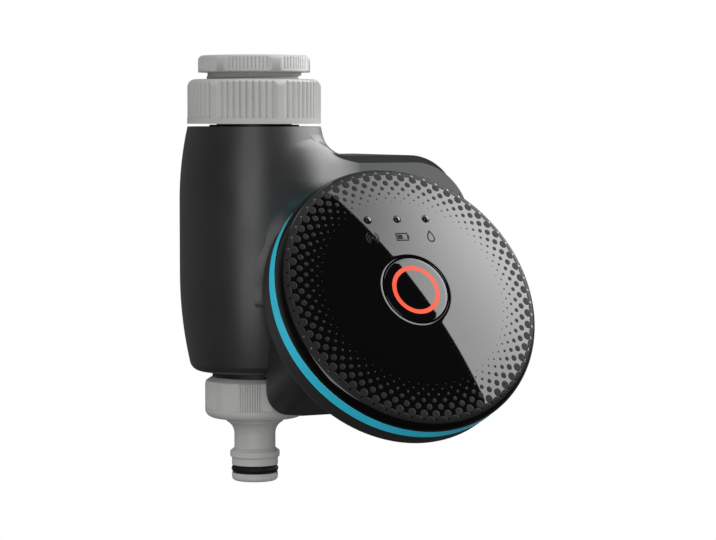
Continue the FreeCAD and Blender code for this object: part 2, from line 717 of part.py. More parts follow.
def touching_barrel(z, ball):
    """Distance from the axis at which a ball touches the barrel, and the barrel's normal there."""
    upper = BARREL_TOP - BARREL_TOP_CURVE
    lower = BARREL_BOTTOM + BARREL_FOOT_H + BARREL_FOOT_CURVE
    if lower <= z <= upper:
        return BARREL_R + ball, 1.0, 0.0
    level = upper if z > upper else lower
    radius = arc_radius(BARREL_R - BARREL_TOP_R, BARREL_TOP_CURVE)
    if z < lower:
        radius = arc_radius(BARREL_R - BARREL_FOOT_R, BARREL_FOOT_CURVE)
    rise = z - level
    reach = math.sqrt((radius + ball) ** 2 - rise ** 2)
    return BARREL_R - radius + reach, reach / (radius + ball), rise / (radius + ball)


def blend_section(centre, ball, first, second):
    """Outline of a filled concave corner: the ball's arc, and a root inside both surfaces."""
    middle = (first + second).normalize()
    half = first.getAngle(second) / 2
    root = centre - middle * (ball / math.cos(half) + BLEND_ROOT)
    sunk = centre - middle * BLEND_SINK
    a = sunk - first * ball
    b = sunk - second * ball
    arc = Part.Arc(a, sunk - middle * ball, b).toShape()
    return Part.Wire([arc, Part.LineSegment(b, root).toShape(), Part.LineSegment(root, a).toShape()])


def slope_normal():
    """Outward normal of the shoulder's slope."""
    slope = math.radians(SHOULDER_TILT)
    return V(0, -math.cos(slope), math.sin(slope))


def ball_centre(x, height, ball):
    """Centre of a ball at an x and a height over the slope, where it touches the barrel."""
    slope = math.radians(SHOULDER_TILT)
    high = 0.0
    low = BARREL_BOTTOM - SLOPE_BLEND_R
    for _ in range(50):
        z = (high + low) / 2
        y = CREASE_Y + (math.sin(slope) * (z - CREASE_Z) - height) / math.cos(slope)
        distance, flat, rise = touching_barrel(z, ball)
        if x * x + y * y > distance * distance:
            low = z
        else:
            high = z
    return V(x, y, z), V(x / distance * flat, y / distance * flat, rise)


def blend_over_slope(x, ball):
    """Section where the ball touches the slope and the barrel."""
    centre, radial = ball_centre(x, ball, ball)
    return blend_section(centre, ball, slope_normal(), radial)


def blend_round_edge(turn, ball):
    """Section where the ball touches the shoulder's rounded left edge and the barrel."""
    angle = math.radians(turn)
    reach = SHOULDER_EDGE_R + ball
    x = SHOULDER_LEFT + SHOULDER_EDGE_R - reach * math.sin(angle)
    centre, radial = ball_centre(x, reach * math.cos(angle) - SHOULDER_EDGE_R, ball)
    outward = slope_normal() * math.cos(angle) - V(math.sin(angle), 0, 0)
    return blend_section(centre, ball, outward, radial)


def shoulder_blend():
    """Concave blend that runs the shoulder into the barrel, as a loft along a rolling ball's path."""
    sections = []
    for step in range(SLOPE_STEPS):
        share = step / SLOPE_STEPS
        x = BLEND_START_X + (SHOULDER_LEFT + SHOULDER_EDGE_R - BLEND_START_X) * share
        sections.append(blend_over_slope(x, FLARE_R + (SLOPE_BLEND_R - FLARE_R) * share))
    for step in range(EDGE_STEPS + 1):
        share = step / EDGE_STEPS
        ball = SLOPE_BLEND_R + (WALL_BLEND_R - SLOPE_BLEND_R) * share
        sections.append(blend_round_edge(90 * share, ball))
    return Part.makeLoft(sections, True, False)


def housing_form():
    """Outer form of the housing."""
    rear = rear_block(0, BLOCK_BACK)
    back_edges = [edge for edge in rear.Edges if edge.BoundBox.YMin > BLOCK_BACK - 0.01]
    rear = rear.makeFillet(BLOCK_EDGE, back_edges)
    head = drum(DRUM_R, RING_W, DRUM_DEPTH, DRUM_ROUND)
    neck = cylinder(NECK_R, BARREL_TOP - 1, NUT_BOTTOM - RUN_GAP)
    form = flared_barrel().fuse([rear, shoulder(0)[1], head, neck, shoulder_blend()])
    return form.cut(cylinder(NUT_ROOM_R, BARREL_BOTTOM - NUT_ROOM_DEPTH, BARREL_BOTTOM))


def housing_room():
    """Inner hollow of the housing."""
    prism, sloped = shoulder(WALL)
    passage = drum(DRUM_R - 2 * WALL, 0, DRUM_DEPTH + PASSAGE_DEPTH, 0).common(prism)
    hollow = barrel(WALL).fuse([
        rear_block(WALL, BLOCK_BACK - BACK_WALL), sloped,
        drum(DRUM_R - WALL, 0, DRUM_DEPTH - WALL, 0), passage])
    nut_room = cylinder(NUT_ROOM_R + WALL, BARREL_BOTTOM - NUT_ROOM_DEPTH, BARREL_BOTTOM + WALL)
    return hollow.cut(nut_room)


def bosses():
    """Screw pillars through the whole depth of the housing, ribbed to the right wall."""
    pieces = []
    for x, drop in BOSS_PLACES:
        level = BARREL_TOP - drop
        pieces.append(Part.makeCylinder(BOSS_R, 140, V(x, -100, level), BACKWARD))
        if x > BLOCK_LEG:
            front = SCREW_SEAT_Y - HOUSING_SCREW_L
            pieces.append(box(x, BLOCK_RIGHT, front, PARTING_Y - RUN_GAP, level, level + BOSS_RIB))
    return pieces


def cover_outline(grow, y, depth):
    """Outline of the battery cover: a rounded panel with a screw tab below."""
    radius = COVER_CORNER + grow
    panel = round_outline(
        TRAY_X0 - grow, TRAY_X1 + grow, TRAY_Z0 - grow, TRAY_Z1 + grow, [radius] * 4, y, depth)
    return panel


def cover_tab(grow, y, depth):
    """Tab that takes the battery cover's screw."""
    middle, screw_z = cover_screw_place()
    half = COVER_TAB_W / 2 + grow
    corner = half - 0.1
    return round_outline(
        middle - half, middle + half, screw_z - half, TRAY_Z0 + half, [corner] * 4, y, depth)


def cover_screw_place():
    """Axis of the battery cover's screw."""
    return (TRAY_X0 + TRAY_X1) / 2, TRAY_Z0 - TRAY_WALL - BOSS_R - RUN_GAP


def housing_halves():
    """Front and rear shells, split across the barrel."""
    form = housing_form()
    room = housing_room()
    shell = form.cut(room)
    pillars = [pillar.common(form) for pillar in bosses()]
    x, z = cover_screw_place()
    pillars.append(Part.makeCylinder(BOSS_R, BACK_WALL + 7, V(x, TRAY_BACK - 7, z), BACKWARD).common(form))
    shell = shell.fuse(pillars)
    rebate = SEAL_T + COVER_T
    y = BLOCK_BACK - rebate
    cuts = [
        cylinder(SPIGOT_R + SEAT_GAP, BARREL_TOP - WALL - 1, BARREL_TOP + 5),
        cylinder(OUTLET_COLLAR_R + SEAT_GAP, BARREL_BOTTOM - 1, BARREL_BOTTOM + WALL + 1.5),
        cover_outline(0, TRAY_BACK - 1, BACK_WALL + 2),
        cover_outline(TRAY_WALL, y, rebate + 1),
        cover_tab(TRAY_WALL, y, rebate + 1),
        Part.makeCylinder(COVER_SCREW_R, 8, V(x, TRAY_BACK - 5, z), BACKWARD),
    ]
    for place, drop in BOSS_PLACES:
        level = BARREL_TOP - drop
        head_r = HOUSING_SCREW_R * SCREW_HEAD_RATIO + RUN_GAP
        cuts.append(Part.makeCylinder(head_r, 60, V(place, SCREW_SEAT_Y, level), BACKWARD))
        reach = HOUSING_SCREW_L + SEAT_GAP
        foot = SCREW_SEAT_Y - reach
        cuts.append(Part.makeCylinder(HOUSING_SCREW_R, reach, V(place, foot, level), BACKWARD))
    shell = shell.cut(cuts)
    drum_mouth = drum(DRUM_R - WALL, 0, DRUM_DEPTH - WALL, 0)
    shell = shell.cut(drum_mouth)
    front = shell.common(box(-200, 200, -200, PARTING_Y, -200, 50)).removeSplitter()
    rear = shell.common(box(-200, 200, PARTING_Y, 200, -200, 50)).removeSplitter()
    return front, rear


def housing_screws():
    """Four screws from the back that close the housing."""
    return Part.makeCompound([
        screw(HOUSING_SCREW_R, HOUSING_SCREW_L, x, SCREW_SEAT_Y, BARREL_TOP - drop, V(0, -1, 0))
        for x, drop in BOSS_PLACES])


# Batteries

def cell_places():
    """Middle, lower end and way up of each cell; the ends alternate."""
    places = []
    for index in range(CELL_COUNT):
        x = CELL_X + index * CELL_PITCH
        upright = index % 2 == 0
        low = TRAY_Z0 + CONTACT_T + (CONTACT_SPRING_H if upright else 0)
        places.append((x, low, upright))
    return places


def batteries():
    """Three cells with their positive nubs."""
    cells = []
    for x, low, upright in cell_places():
        if upright:
            body = cylinder(CELL_R, low, low + CELL_L, x, CELL_Y)
            nub = cylinder(CELL_NUB_R, low + CELL_L, low + CELL_L + CELL_NUB_H, x, CELL_Y)
        else:
            body = cylinder(CELL_R, low + CELL_NUB_H, low + CELL_NUB_H + CELL_L, x, CELL_Y)
            nub = cylinder(CELL_NUB_R, low, low + CELL_NUB_H, x, CELL_Y)
        cells.append(body.fuse(nub).removeSplitter())
    return Part.makeCompound(cells)


def battery_contacts():
    """A plate at each nub and a plate with a spring at each flat end."""
    pieces = []
    half = CONTACT_W / 2
    for x, low, upright in cell_places():
        spring_z = TRAY_Z0 if upright else TRAY_Z1 - CONTACT_T
        plate_z = TRAY_Z1 - CONTACT_T if upright else TRAY_Z0
        away = 1 if upright else -1
        base = box(x - half, x + half, CELL_Y - half, CELL_Y + half, spring_z, spring_z + CONTACT_T)
        foot = spring_z + CONTACT_T if upright else spring_z
        coil_low = min(foot, foot + away * CONTACT_SPRING_H)
        coil_high = coil_low + CONTACT_SPRING_H
        coil = tube(CONTACT_SPRING_R, CONTACT_SPRING_R - SPRING_WIRE, coil_low, coil_high, x, CELL_Y)
        pieces.append(base.fuse(coil))
        pieces.append(box(x - half, x + half, CELL_Y - half, CELL_Y + half, plate_z, plate_z + CONTACT_T))
    return Part.makeCompound(pieces)


def battery_tray():
    """Open tray that carries the cells, shut against the back wall."""
    outer = round_outline(
        TRAY_X0 - TRAY_WALL, TRAY_X1 + TRAY_WALL, TRAY_Z0 - TRAY_WALL, TRAY_Z1 + TRAY_WALL,
        [TRAY_WALL] * 4, TRAY_FRONT, TRAY_BACK - TRAY_FRONT)
    room = box(TRAY_X0, TRAY_X1, TRAY_FRONT + TRAY_WALL, TRAY_BACK + 1, TRAY_Z0, TRAY_Z1)
    tray = outer.cut(room)
    ribs = []
    for index in range(CELL_COUNT - 1):
        x = CELL_X + (index + 0.5) * CELL_PITCH
        ribs.append(box(x - 0.6, x + 0.6, TRAY_FRONT + TRAY_WALL, TRAY_FRONT + 4, TRAY_Z0, TRAY_Z1))
    return tray.fuse(ribs).removeSplitter()


def battery_cover():
    """Cover flush with the back, with a plug that enters the opening."""
    grow = TRAY_WALL - RUN_GAP
    plate_y = BLOCK_BACK - COVER_T
    plate = cover_outline(grow, plate_y, COVER_T).fuse(cover_tab(grow, plate_y, COVER_T))
    plug = cover_outline(-RUN_GAP, plate_y - COVER_PLUG, COVER_PLUG)
    hollow = cover_outline(-RUN_GAP - TRAY_WALL, plate_y - COVER_PLUG - 1, COVER_PLUG + 1)
    x, z = cover_screw_place()
    hole = Part.makeCylinder(COVER_SCREW_R + SEAT_GAP, 10, V(x, plate_y - 5, z), BACKWARD)
    return plate.fuse(plug.cut(hollow)).cut(hole).removeSplitter()


def battery_cover_seal():
    """Flat frame under the cover's edge."""
    y = BLOCK_BACK - COVER_T - SEAL_T
    grow = TRAY_WALL - RUN_GAP
    return cover_outline(grow, y, SEAL_T).cut(cover_outline(0, y - 1, SEAL_T + 2))


def battery_cover_screw():
    """Captive screw in the cover's tab."""
    x, z = cover_screw_place()
    return screw(COVER_SCREW_R - SEAT_GAP, 7, x, BLOCK_BACK, z, V(0, -1, 0))


# Control head, built in its own axes and then placed

def dome(radius_limit, drop):
    """Height of the face's dome, as an arc from the middle out to a radius."""
    radius = (PLATE_R ** 2 / PLATE_RISE + PLATE_RISE) / 2
    crown = PLATE_EDGE_H + PLATE_RISE
    return crown - drop - (radius - math.sqrt(radius ** 2 - radius_limit ** 2))


def placed(solid):
    """Moves a solid from the head's axes to the row frame."""
    solid.Placement = HEAD.multiply(solid.Placement)
    return solid


def trim_ring():
    """Coloured ring with a spigot and a ledge that carries the board."""
    inner = RING_INNER_R
    ledge_low = -BOARD_DEPTH
    floor = -RING_W + RING_FLOOR
    ring = revolve([
        (inner, -RING_W), (RING_R - RING_EDGE, -RING_W), (RING_R, -RING_W + RING_EDGE), (RING_R, -RING_EDGE),
        (RING_R - RING_EDGE, 0), (RING_BORE_R, 0), (RING_BORE_R, floor), (inner, floor)])
    spigot = tube(RING_SPIGOT_R, inner, -RING_W - SPIGOT_DEEP, -RING_W)
    ledge = tube(inner + SPIGOT_THICK / 2, inner - LEDGE_W, ledge_low, ledge_low + LEDGE_H)
    lugs = []
    for turn in range(4):
        place = at_angle(BOARD_SCREW_PITCH_R, 45 + turn * 90, 0)
        lug = cylinder(BOARD_LUG_R, ledge_low, ledge_low + LEDGE_H + BOARD_LUG_RISE, place.x, place.y)
        arm = box(BOARD_SCREW_PITCH_R, inner, -BOARD_LUG_R, BOARD_LUG_R, ledge_low, ledge_low + LEDGE_H)
        arm.rotate(V(0, 0, 0), UP, 45 + turn * 90)
        lugs += [lug, arm]
    holes = []
    for turn in range(4):
        place = at_angle(BOARD_SCREW_PITCH_R, 45 + turn * 90, 0)
        holes.append(cylinder(BOARD_SCREW_R, ledge_low - 1, ledge_low + 5, place.x, place.y))
    solid = ring.fuse([spigot, ledge] + lugs).cut(holes)
    return placed(solid.removeSplitter())


def face_plate():
    """Domed cover plate with the button's guide and three light holes."""
    mid = PLATE_R * 0.6
    inner_r = PLATE_R - PLATE_WALL
    top_r = PLATE_R - PLATE_ROUND
    foot = PLATE_EDGE_H - PLATE_ROUND
    edge_in, edge_up = swell(top_r, PLATE_R, dome(top_r, 0) - foot)
    outer = revolve([
        (0, 0), (PLATE_R, 0), (PLATE_R, foot), (edge_in, foot + edge_up, 0), (top_r, dome(top_r, 0)),
        (mid, dome(mid, 0), 0), (0, dome(0, 0))])
    inner = revolve([
        (0, -1), (inner_r, -1), (inner_r, dome(inner_r, PLATE_WALL)), (mid, dome(mid, PLATE_WALL), 0),
        (0, dome(0, PLATE_WALL))])
    guide_r = BUTTON_R + BUTTON_GAP
    guide = tube(guide_r + 1.6, guide_r, 1.0, dome(guide_r, 0.5))
    solid = outer.cut(inner).fuse(guide)
    holes = [cylinder(guide_r, -1, 20)]
    for place in (-PIPE_X, 0, PIPE_X):
        holes.append(cylinder(PIPE_R + SEAT_GAP, -1, 20, place, PIPE_Y))
    return placed(solid.cut(holes).removeSplitter())


def button_form(radius, drop, low):
    """Round plug under the dome, down to a level."""
    return revolve([
        (0, low), (radius, low), (radius, dome(radius, drop)), (radius / 2, dome(radius / 2, drop), 0),
        (0, dome(0, drop))])


def start_button():
    """Domed push button with a skirt, a stem and a groove for the glowing ring."""
    low = dome(BUTTON_R, 0) - BUTTON_SKIRT
    cap = button_form(BUTTON_R, 0, low)
    room = button_form(BUTTON_R - BUTTON_WALL, BUTTON_WALL, low - 1)
    groove = button_form(GLOW_OUTER_R, -1, 0).cut(button_form(GLOW_INNER_R, -2, -1))
    groove = groove.cut(button_form(GLOW_OUTER_R + 1, GLOW_DEPTH, -1))
    stem = cylinder(SWITCH_PIN_R, -BOARD_DEPTH + SWITCH_H + SWITCH_PIN_OUT, dome(0, BUTTON_WALL / 2))
    return placed(cap.cut(room).fuse(stem).cut(groove).removeSplitter())


def button_light_ring():
    """Translucent ring in the button's groove."""
    ring = button_form(GLOW_OUTER_R, 0, 0).cut(cylinder(GLOW_INNER_R, -1, 20))
    return placed(ring.cut(button_form(GLOW_OUTER_R + 1, GLOW_DEPTH, -1)))


def light_pipes():
    """Three clear rods from the board's lights to the face."""
    low = -BOARD_DEPTH + LIGHT_H
    pipes = []
    for place in (-PIPE_X, 0, PIPE_X):
        top = dome(math.hypot(place, PIPE_Y), PIPE_RECESS)
        rod = cylinder(PIPE_R, low, top, place, PIPE_Y)
        foot = cylinder(PIPE_FOOT_R, low, low + PIPE_FOOT_H, place, PIPE_Y)
        pipes.append(placed(rod.fuse(foot).removeSplitter()))
    return Part.makeCompound(pipes)


def circuit_board():
    """Round board on the trim ring's ledge."""
    board = cylinder(BOARD_R, -BOARD_DEPTH - BOARD_H, -BOARD_DEPTH)
    holes = []
    for turn in range(4):
        place = at_angle(BOARD_SCREW_PITCH_R, 45 + turn * 90, 0)
        holes.append(cylinder(BOARD_SCREW_R + SEAT_GAP, -20, 0, place.x, place.y))
    return placed(board.cut(holes))


def board_screws():
    """Four screws from behind the board into the trim ring."""
    pieces = []
    for turn in range(4):
        place = at_angle(BOARD_SCREW_PITCH_R, 45 + turn * 90, 0)
        piece = screw(BOARD_SCREW_R - 0.05, BOARD_H + LEDGE_H, place.x, place.y, -BOARD_DEPTH - BOARD_H, UP)
        pieces.append(placed(piece))
    return Part.makeCompound(pieces)


def indicator_lights():
    """Three status lights and four lights under the button's ring."""
    places = [(x, PIPE_Y) for x in (-PIPE_X, 0, PIPE_X)]
    ring_r = (GLOW_OUTER_R + GLOW_INNER_R) / 2
    for turn in range(4):
        place = at_angle(ring_r, turn * 90, 0)
        places.append((place.x, place.y))
    half = LIGHT_W / 2
    return Part.makeCompound([
        placed(box(x - half, x + half, y - half, y + half, -BOARD_DEPTH, -BOARD_DEPTH + LIGHT_H))
        for x, y in places])


def start_switch():
    """Switch body on the board."""
    half = SWITCH_W / 2
    body = box(-half, half, -half, half, -BOARD_DEPTH, -BOARD_DEPTH + SWITCH_H)
    room = SWITCH_PIN_IN + BUTTON_TRAVEL + RUN_GAP
    well = cylinder(SWITCH_PIN_R + GUIDE_GAP, -BOARD_DEPTH + SWITCH_H - room, 0)
    return placed(body.cut(well))


def switch_pin():
    """Pin of the switch, under the button's stem."""
    top = -BOARD_DEPTH + SWITCH_H + SWITCH_PIN_OUT
    return placed(cylinder(SWITCH_PIN_R, -BOARD_DEPTH + SWITCH_H - SWITCH_PIN_IN, top))


def radio_module():
    """Shielded radio on the back of the board."""
    back = -BOARD_DEPTH - BOARD_H
    low = -MODULE_DROP
    return placed(box(-MODULE_W / 2, MODULE_W / 2, low, low + MODULE_L, back - MODULE_H, back))


# Outlet

def outlet_connector():
    """Hose connector: threaded ribbed nut and stepped nipple in one piece."""
    nut_bottom = CONN_TOP - CONN_NUT_H
    envelope = revolve([
        (0, CONN_TOP), (CONN_NUT_R - CONN_TOP_BEVEL, CONN_TOP),
        (CONN_NUT_R - 0.15 * CONN_TOP_BEVEL, CONN_TOP - 0.55 * CONN_TOP_BEVEL),
        (CONN_NUT_R, CONN_TOP - CONN_TOP_BEVEL), (CONN_NUT_R, nut_bottom + CONN_FOOT_ROUND),
        (CONN_NUT_R - 0.29 * CONN_FOOT_ROUND, nut_bottom + 0.29 * CONN_FOOT_ROUND, 0),
        (CONN_NUT_R - CONN_FOOT_ROUND, nut_bottom), (0, nut_bottom)])
    grip = grip_prism(
        CONN_NUT_R, CONN_NUT_R - CONN_PANEL, CONN_RIB, CONN_RIBS, CONN_RIB_SPAN, CONN_RIDGE_SPAN,
        nut_bottom, CONN_TOP)
    body = envelope.common(grip)
    band = envelope.common(cylinder(CONN_NUT_R, nut_bottom, nut_bottom + CONN_BAND))
    z = nut_bottom
    shoulder_z = z - SHOULDER_H
    cone_z = shoulder_z - CONE_H
    stop_z = cone_z - NECK_SLIM_H
    land_z = stop_z - STOP_H
    groove_z = land_z - LAND_H
    tip_z = groove_z - RING_GROOVE_H
    end_z = tip_z - TIP_H
    groove_r = TIP_R - 2 * RING_WIRE_R
    flare_in, flare_up = swell(0, SHOULDER_R - NECK_SLIM_R, CONE_H)
    nipple = revolve([
        (0, z + 1), (SHOULDER_R, z + 1), (SHOULDER_R, shoulder_z),
        (SHOULDER_R - flare_in, cone_z + flare_up, 0),
        (NECK_SLIM_R, cone_z), (NECK_SLIM_R, stop_z), (STOP_R, stop_z - STOP_H * 0.34),
        (STOP_R, land_z + STOP_H * 0.14), (TIP_R, land_z), (TIP_R, groove_z), (groove_r, groove_z),
        (groove_r, tip_z), (TIP_R, tip_z), (TIP_R, end_z + TIP_ROUND),
        (TIP_R - 0.29 * TIP_ROUND, end_z + 0.29 * TIP_ROUND, 0), (TIP_R - TIP_ROUND, end_z), (0, end_z)])
    socket = cylinder(TAP_THREAD_R, CONN_FLOOR, CONN_TOP + 1)
    bore = cylinder(CONN_BORE_R, end_z - 1, CONN_FLOOR + 1)
    return body.fuse([band, nipple]).cut([socket, bore]).removeSplitter()


def outlet_washer():
    """Flat washer between the outlet spigot and the connector."""
    return tube(TAP_THREAD_R - SEAT_GAP, OUTLET_BORE_R, CONN_FLOOR, CONN_WASHER_TOP)


def nipple_o_ring():
    """Sealing ring in the nipple's groove."""
    ring_z = CONN_TOP - CONN_NUT_H - SHOULDER_H - CONE_H - NECK_SLIM_H - STOP_H - LAND_H - RING_GROOVE_H / 2
    return Part.makeTorus(TIP_R - RING_WIRE_R + 0.15, RING_WIRE_R, V(0, 0, ring_z))


def build():
    """Builds every piece and writes it to its own file."""
    os.makedirs("parts", exist_ok=True)
    front, rear = housing_halves()
    pieces = {
        "thread_adapter": thread_adapter(),
        "adapter_washer": adapter_washer(),
        "union_nut": union_nut(),
        "inlet_washer": inlet_washer(),
        "inlet_filter": inlet_filter(),
        "water_body": water_body(),
        "diaphragm": diaphragm(),
        "diaphragm_plate": diaphragm_plate(),
        "diaphragm_spring": diaphragm_spring(),
        "valve_bonnet": valve_bonnet(),
        "bonnet_screws": bonnet_screws(),
        "solenoid_coil": solenoid_coil(),
        "coil_yoke": coil_yoke(),
        "plunger": plunger(),
        "plunger_spring": plunger_spring(),
        "latch_magnet": latch_magnet(),
        "front_housing": front,
        "rear_housing": rear,
        "housing_screws": housing_screws(),
        "battery_tray": battery_tray(),
        "batteries": batteries(),
        "battery_contacts": battery_contacts(),
        "battery_cover": battery_cover(),
        "battery_cover_seal": battery_cover_seal(),
        "battery_cover_screw": battery_cover_screw(),
        "trim_ring": trim_ring(),
        "face_plate": face_plate(),
        "start_button": start_button(),
        "button_light_ring": button_light_ring(),
        "light_pipes": light_pipes(),
        "circuit_board": circuit_board(),
        "board_screws": board_screws(),
        "indicator_lights": indicator_lights(),
        "start_switch": start_switch(),
        "switch_pin": switch_pin(),
        "radio_module": radio_module(),
        "outlet_connector": outlet_connector(),
        "outlet_washer": outlet_washer(),
        "nipple_o_ring": nipple_o_ring(),
    }
    for name, shape in pieces.items():
        shape.exportStep("parts/" + name + ".step")
        print(name, "solids", len(shape.Solids), "valid", shape.isValid(), "volume", round(shape.Volume, 1))


build()
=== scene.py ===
import logging
import math
from collections.abc import Callable, Iterator
from contextlib import contextmanager
from dataclasses import dataclass, field
from enum import Enum

import bpy
from mathutils import Matrix, Vector


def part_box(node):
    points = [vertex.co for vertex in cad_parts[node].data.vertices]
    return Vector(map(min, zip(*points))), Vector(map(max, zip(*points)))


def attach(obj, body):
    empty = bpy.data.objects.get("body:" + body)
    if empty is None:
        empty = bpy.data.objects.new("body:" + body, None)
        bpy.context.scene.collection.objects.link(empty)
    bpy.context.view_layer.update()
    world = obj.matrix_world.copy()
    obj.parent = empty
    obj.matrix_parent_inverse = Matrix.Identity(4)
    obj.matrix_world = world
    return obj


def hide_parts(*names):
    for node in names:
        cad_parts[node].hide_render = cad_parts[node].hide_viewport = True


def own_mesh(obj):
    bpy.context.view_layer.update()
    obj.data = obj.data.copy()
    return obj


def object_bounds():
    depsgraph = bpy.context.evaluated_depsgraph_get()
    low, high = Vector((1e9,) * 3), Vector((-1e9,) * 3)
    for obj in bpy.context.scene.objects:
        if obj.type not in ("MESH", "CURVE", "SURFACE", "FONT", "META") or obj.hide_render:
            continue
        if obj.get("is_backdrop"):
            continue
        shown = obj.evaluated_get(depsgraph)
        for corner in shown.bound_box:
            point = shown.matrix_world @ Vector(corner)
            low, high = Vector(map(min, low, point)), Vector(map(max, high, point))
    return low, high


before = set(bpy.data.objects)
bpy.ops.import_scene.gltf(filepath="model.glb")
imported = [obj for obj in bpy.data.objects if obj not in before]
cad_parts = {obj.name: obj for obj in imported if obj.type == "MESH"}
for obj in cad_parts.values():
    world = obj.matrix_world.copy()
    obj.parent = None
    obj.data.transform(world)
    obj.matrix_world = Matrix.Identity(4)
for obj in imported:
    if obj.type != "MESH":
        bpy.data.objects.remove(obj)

LOG = logging.getLogger("irrigation_controller")
Colour = tuple[float, float, float, float]
Point = tuple[float, float, float]
Pair = tuple[float, float]
MM = 0.001
FULL_TURN = 2 * math.pi
HEAD_CENTRE = Vector((0.0329, -0.0494, -0.0823))
HEAD_TILT = 27.94
HEAD_TURN = Matrix.Rotation(math.radians(90 - HEAD_TILT), 4, "X")


def shade(red: int, green: int, blue: int) -> Colour:
    """Linear colour of a display colour.

    Args:
        red: Red from 0 to 255.
        green: Green from 0 to 255.
        blue: Blue from 0 to 255.

    Returns:
        The colour as four linear numbers.
    """
    parts = []
    for value in (red, green, blue):
        share = value / 255
        parts.append(share / 12.92 if share <= 0.04045 else ((share + 0.055) / 1.055) ** 2.4)
    return (parts[0], parts[1], parts[2], 1.0)


class Body(Enum):
    """Bodies of the frame that the new pieces ride on."""

    HOUSING = "housing"
    THREAD_ADAPTER = "thread_adapter"
    START_BUTTON = "start_button"
    BATTERY_COVER = "battery_cover"


@dataclass(frozen=True)
class Signal:
    """A socket that feeds others; its arithmetic places Math nodes."""

    graph: "Graph"
    socket: bpy.types.NodeSocket

    def math(self, operation: str, *others: object) -> "Signal":
        """Result of a Math node that has this signal first."""
        return self.graph.math(operation, self, *others)

    def __add__(self, other: object) -> "Signal":
        """Sum."""
        return self.math("ADD", other)

    def __sub__(self, other: object) -> "Signal":
        """Difference."""
        return self.math("SUBTRACT", other)

    def __rsub__(self, other: float) -> "Signal":
        """Difference from a constant."""
        return self.graph.math("SUBTRACT", other, self)

    def __mul__(self, other: object) -> "Signal":
        """Product."""
        return self.math("MULTIPLY", other)

    def __abs__(self) -> "Signal":
        """Size without its sign."""
        return self.math("ABSOLUTE")

    def root(self) -> "Signal":
        """Square root."""
        return self.math("SQRT")

    def sine(self) -> "Signal":
        """Sine."""
        return self.math("SINE")

    def most(self, other: object) -> "Signal":
        """The larger of two numbers."""
        return self.math("MAXIMUM", other)

    def least(self, other: object) -> "Signal":
        """The smaller of two numbers."""
        return self.math("MINIMUM", other)

    def ramp(self, low: float, high: float, start: float = 0.0, end: float = 1.0) -> "Signal":
        """Maps the signal smoothly from one range to another.

        Args:
            low: Where the change starts.
            high: Where it ends.
            start: The result up to low.
            end: The result from high on.

        Returns:
            The mapped signal.
        """
        inputs = {"Value": self, "From Min": low, "From Max": high, "To Min": start, "To Max": end}
        return self.graph.fed("ShaderNodeMapRange", inputs, interpolation_type="SMOOTHSTEP")

    def between(self, first: object, second: float) -> "Signal":
        """Mixes two numbers by this share of the second."""
        inputs = {0: self, 2: first, 3: second}
        return self.graph.fed("ShaderNodeMix", inputs, data_type="FLOAT")


class Graph:
    """Places nodes in one shader node tree."""

    def __init__(self, tree: bpy.types.NodeTree) -> None:
        """Keeps the tree that the nodes go into."""
        self.tree = tree

    def add(self, kind: str, **settings: object) -> bpy.types.Node:
        """Adds a node.

        Args:
            kind: Blender's type name of the node.
            **settings: Properties to set on it.

        Returns:
            The new node.
        """
        node = self.tree.nodes.new(kind)
        for key, value in settings.items():
            setattr(node, key, value)
        return node

    def put(self, socket: bpy.types.NodeSocket, value: object) -> None:
        """Links a signal to a socket, or sets the socket to a constant.

        Args:
            socket: The input to feed.
            value: A signal, a number, or a tuple of numbers.
        """
        if isinstance(value, Signal):
            self.tree.links.new(value.socket, socket)
        else:
            socket.default_value = value

    def fed(self, kind: str, inputs: dict[str | int, object], output: str | int = 0,
            **settings: object) -> Signal:
        """Adds a node and feeds its inputs.

        Args:
            kind: Blender's type name of the node.
            inputs: Signals or constants by the input's name or number.
            output: Name or number of the output that is wanted.
            **settings: Properties to set on the node.

        Returns:
            The output.
        """
        node = self.add(kind, **settings)
        for socket, value in inputs.items():
            self.put(node.inputs[socket], value)
        return Signal(self, node.outputs[output])

    def math(self, operation: str, *values: object) -> Signal:
        """Adds a Math node with up to three values."""
        return self.fed("ShaderNodeMath", dict(enumerate(values)), operation=operation)

    def place(self) -> Signal:
        """Object coordinates."""
        return self.fed("ShaderNodeTexCoord", {}, "Object")

    def split(self, vector: Signal) -> tuple[Signal, Signal, Signal]:
        """Splits a vector into its three numbers.

        Args:
            vector: The vector.

        Returns:
            Its x, y and z.
        """
        node = self.add("ShaderNodeSeparateXYZ")
        self.put(node.inputs[0], vector)
        return Signal(self, node.outputs[0]), Signal(self, node.outputs[1]), Signal(self, node.outputs[2])

    def mixed(self, share: object, first: object, second: object) -> Signal:
        """Mixes two colours.

        Args:
            share: Share of the second colour.
            first: First colour.
            second: Second colour.

        Returns:
            The mixed colour.
        """
        return self.fed("ShaderNodeMix", {0: share, 6: first, 7: second}, 2, data_type="RGBA")

    def noise(self, place: Signal, scale: object, detail: float = 3.0) -> Signal:
        """Value of a noise texture."""
        return self.fed("ShaderNodeTexNoise", {"Vector": place, "Scale": scale, "Detail": detail})

    def bump(self, height: Signal, depth: float) -> Signal:
        """Normal of a relief from 0 to 1 that is so many metres deep."""
        return self.fed("ShaderNodeBump", {"Strength": 1.0, "Distance": depth, "Height": height})

    def effect(self, effect: "Effect", **inputs: object) -> dict[str, Signal]:
        """Places a shared effect.

        Args:
            effect: The effect.
            **inputs: Signals or constants by input name.

        Returns:
            Its outputs by name.
        """
        node = self.add("ShaderNodeGroup", node_tree=effect.tree())
        for name, value in inputs.items():
            self.put(node.inputs[name], value)
        return {socket.name: Signal(self, socket) for socket in node.outputs}


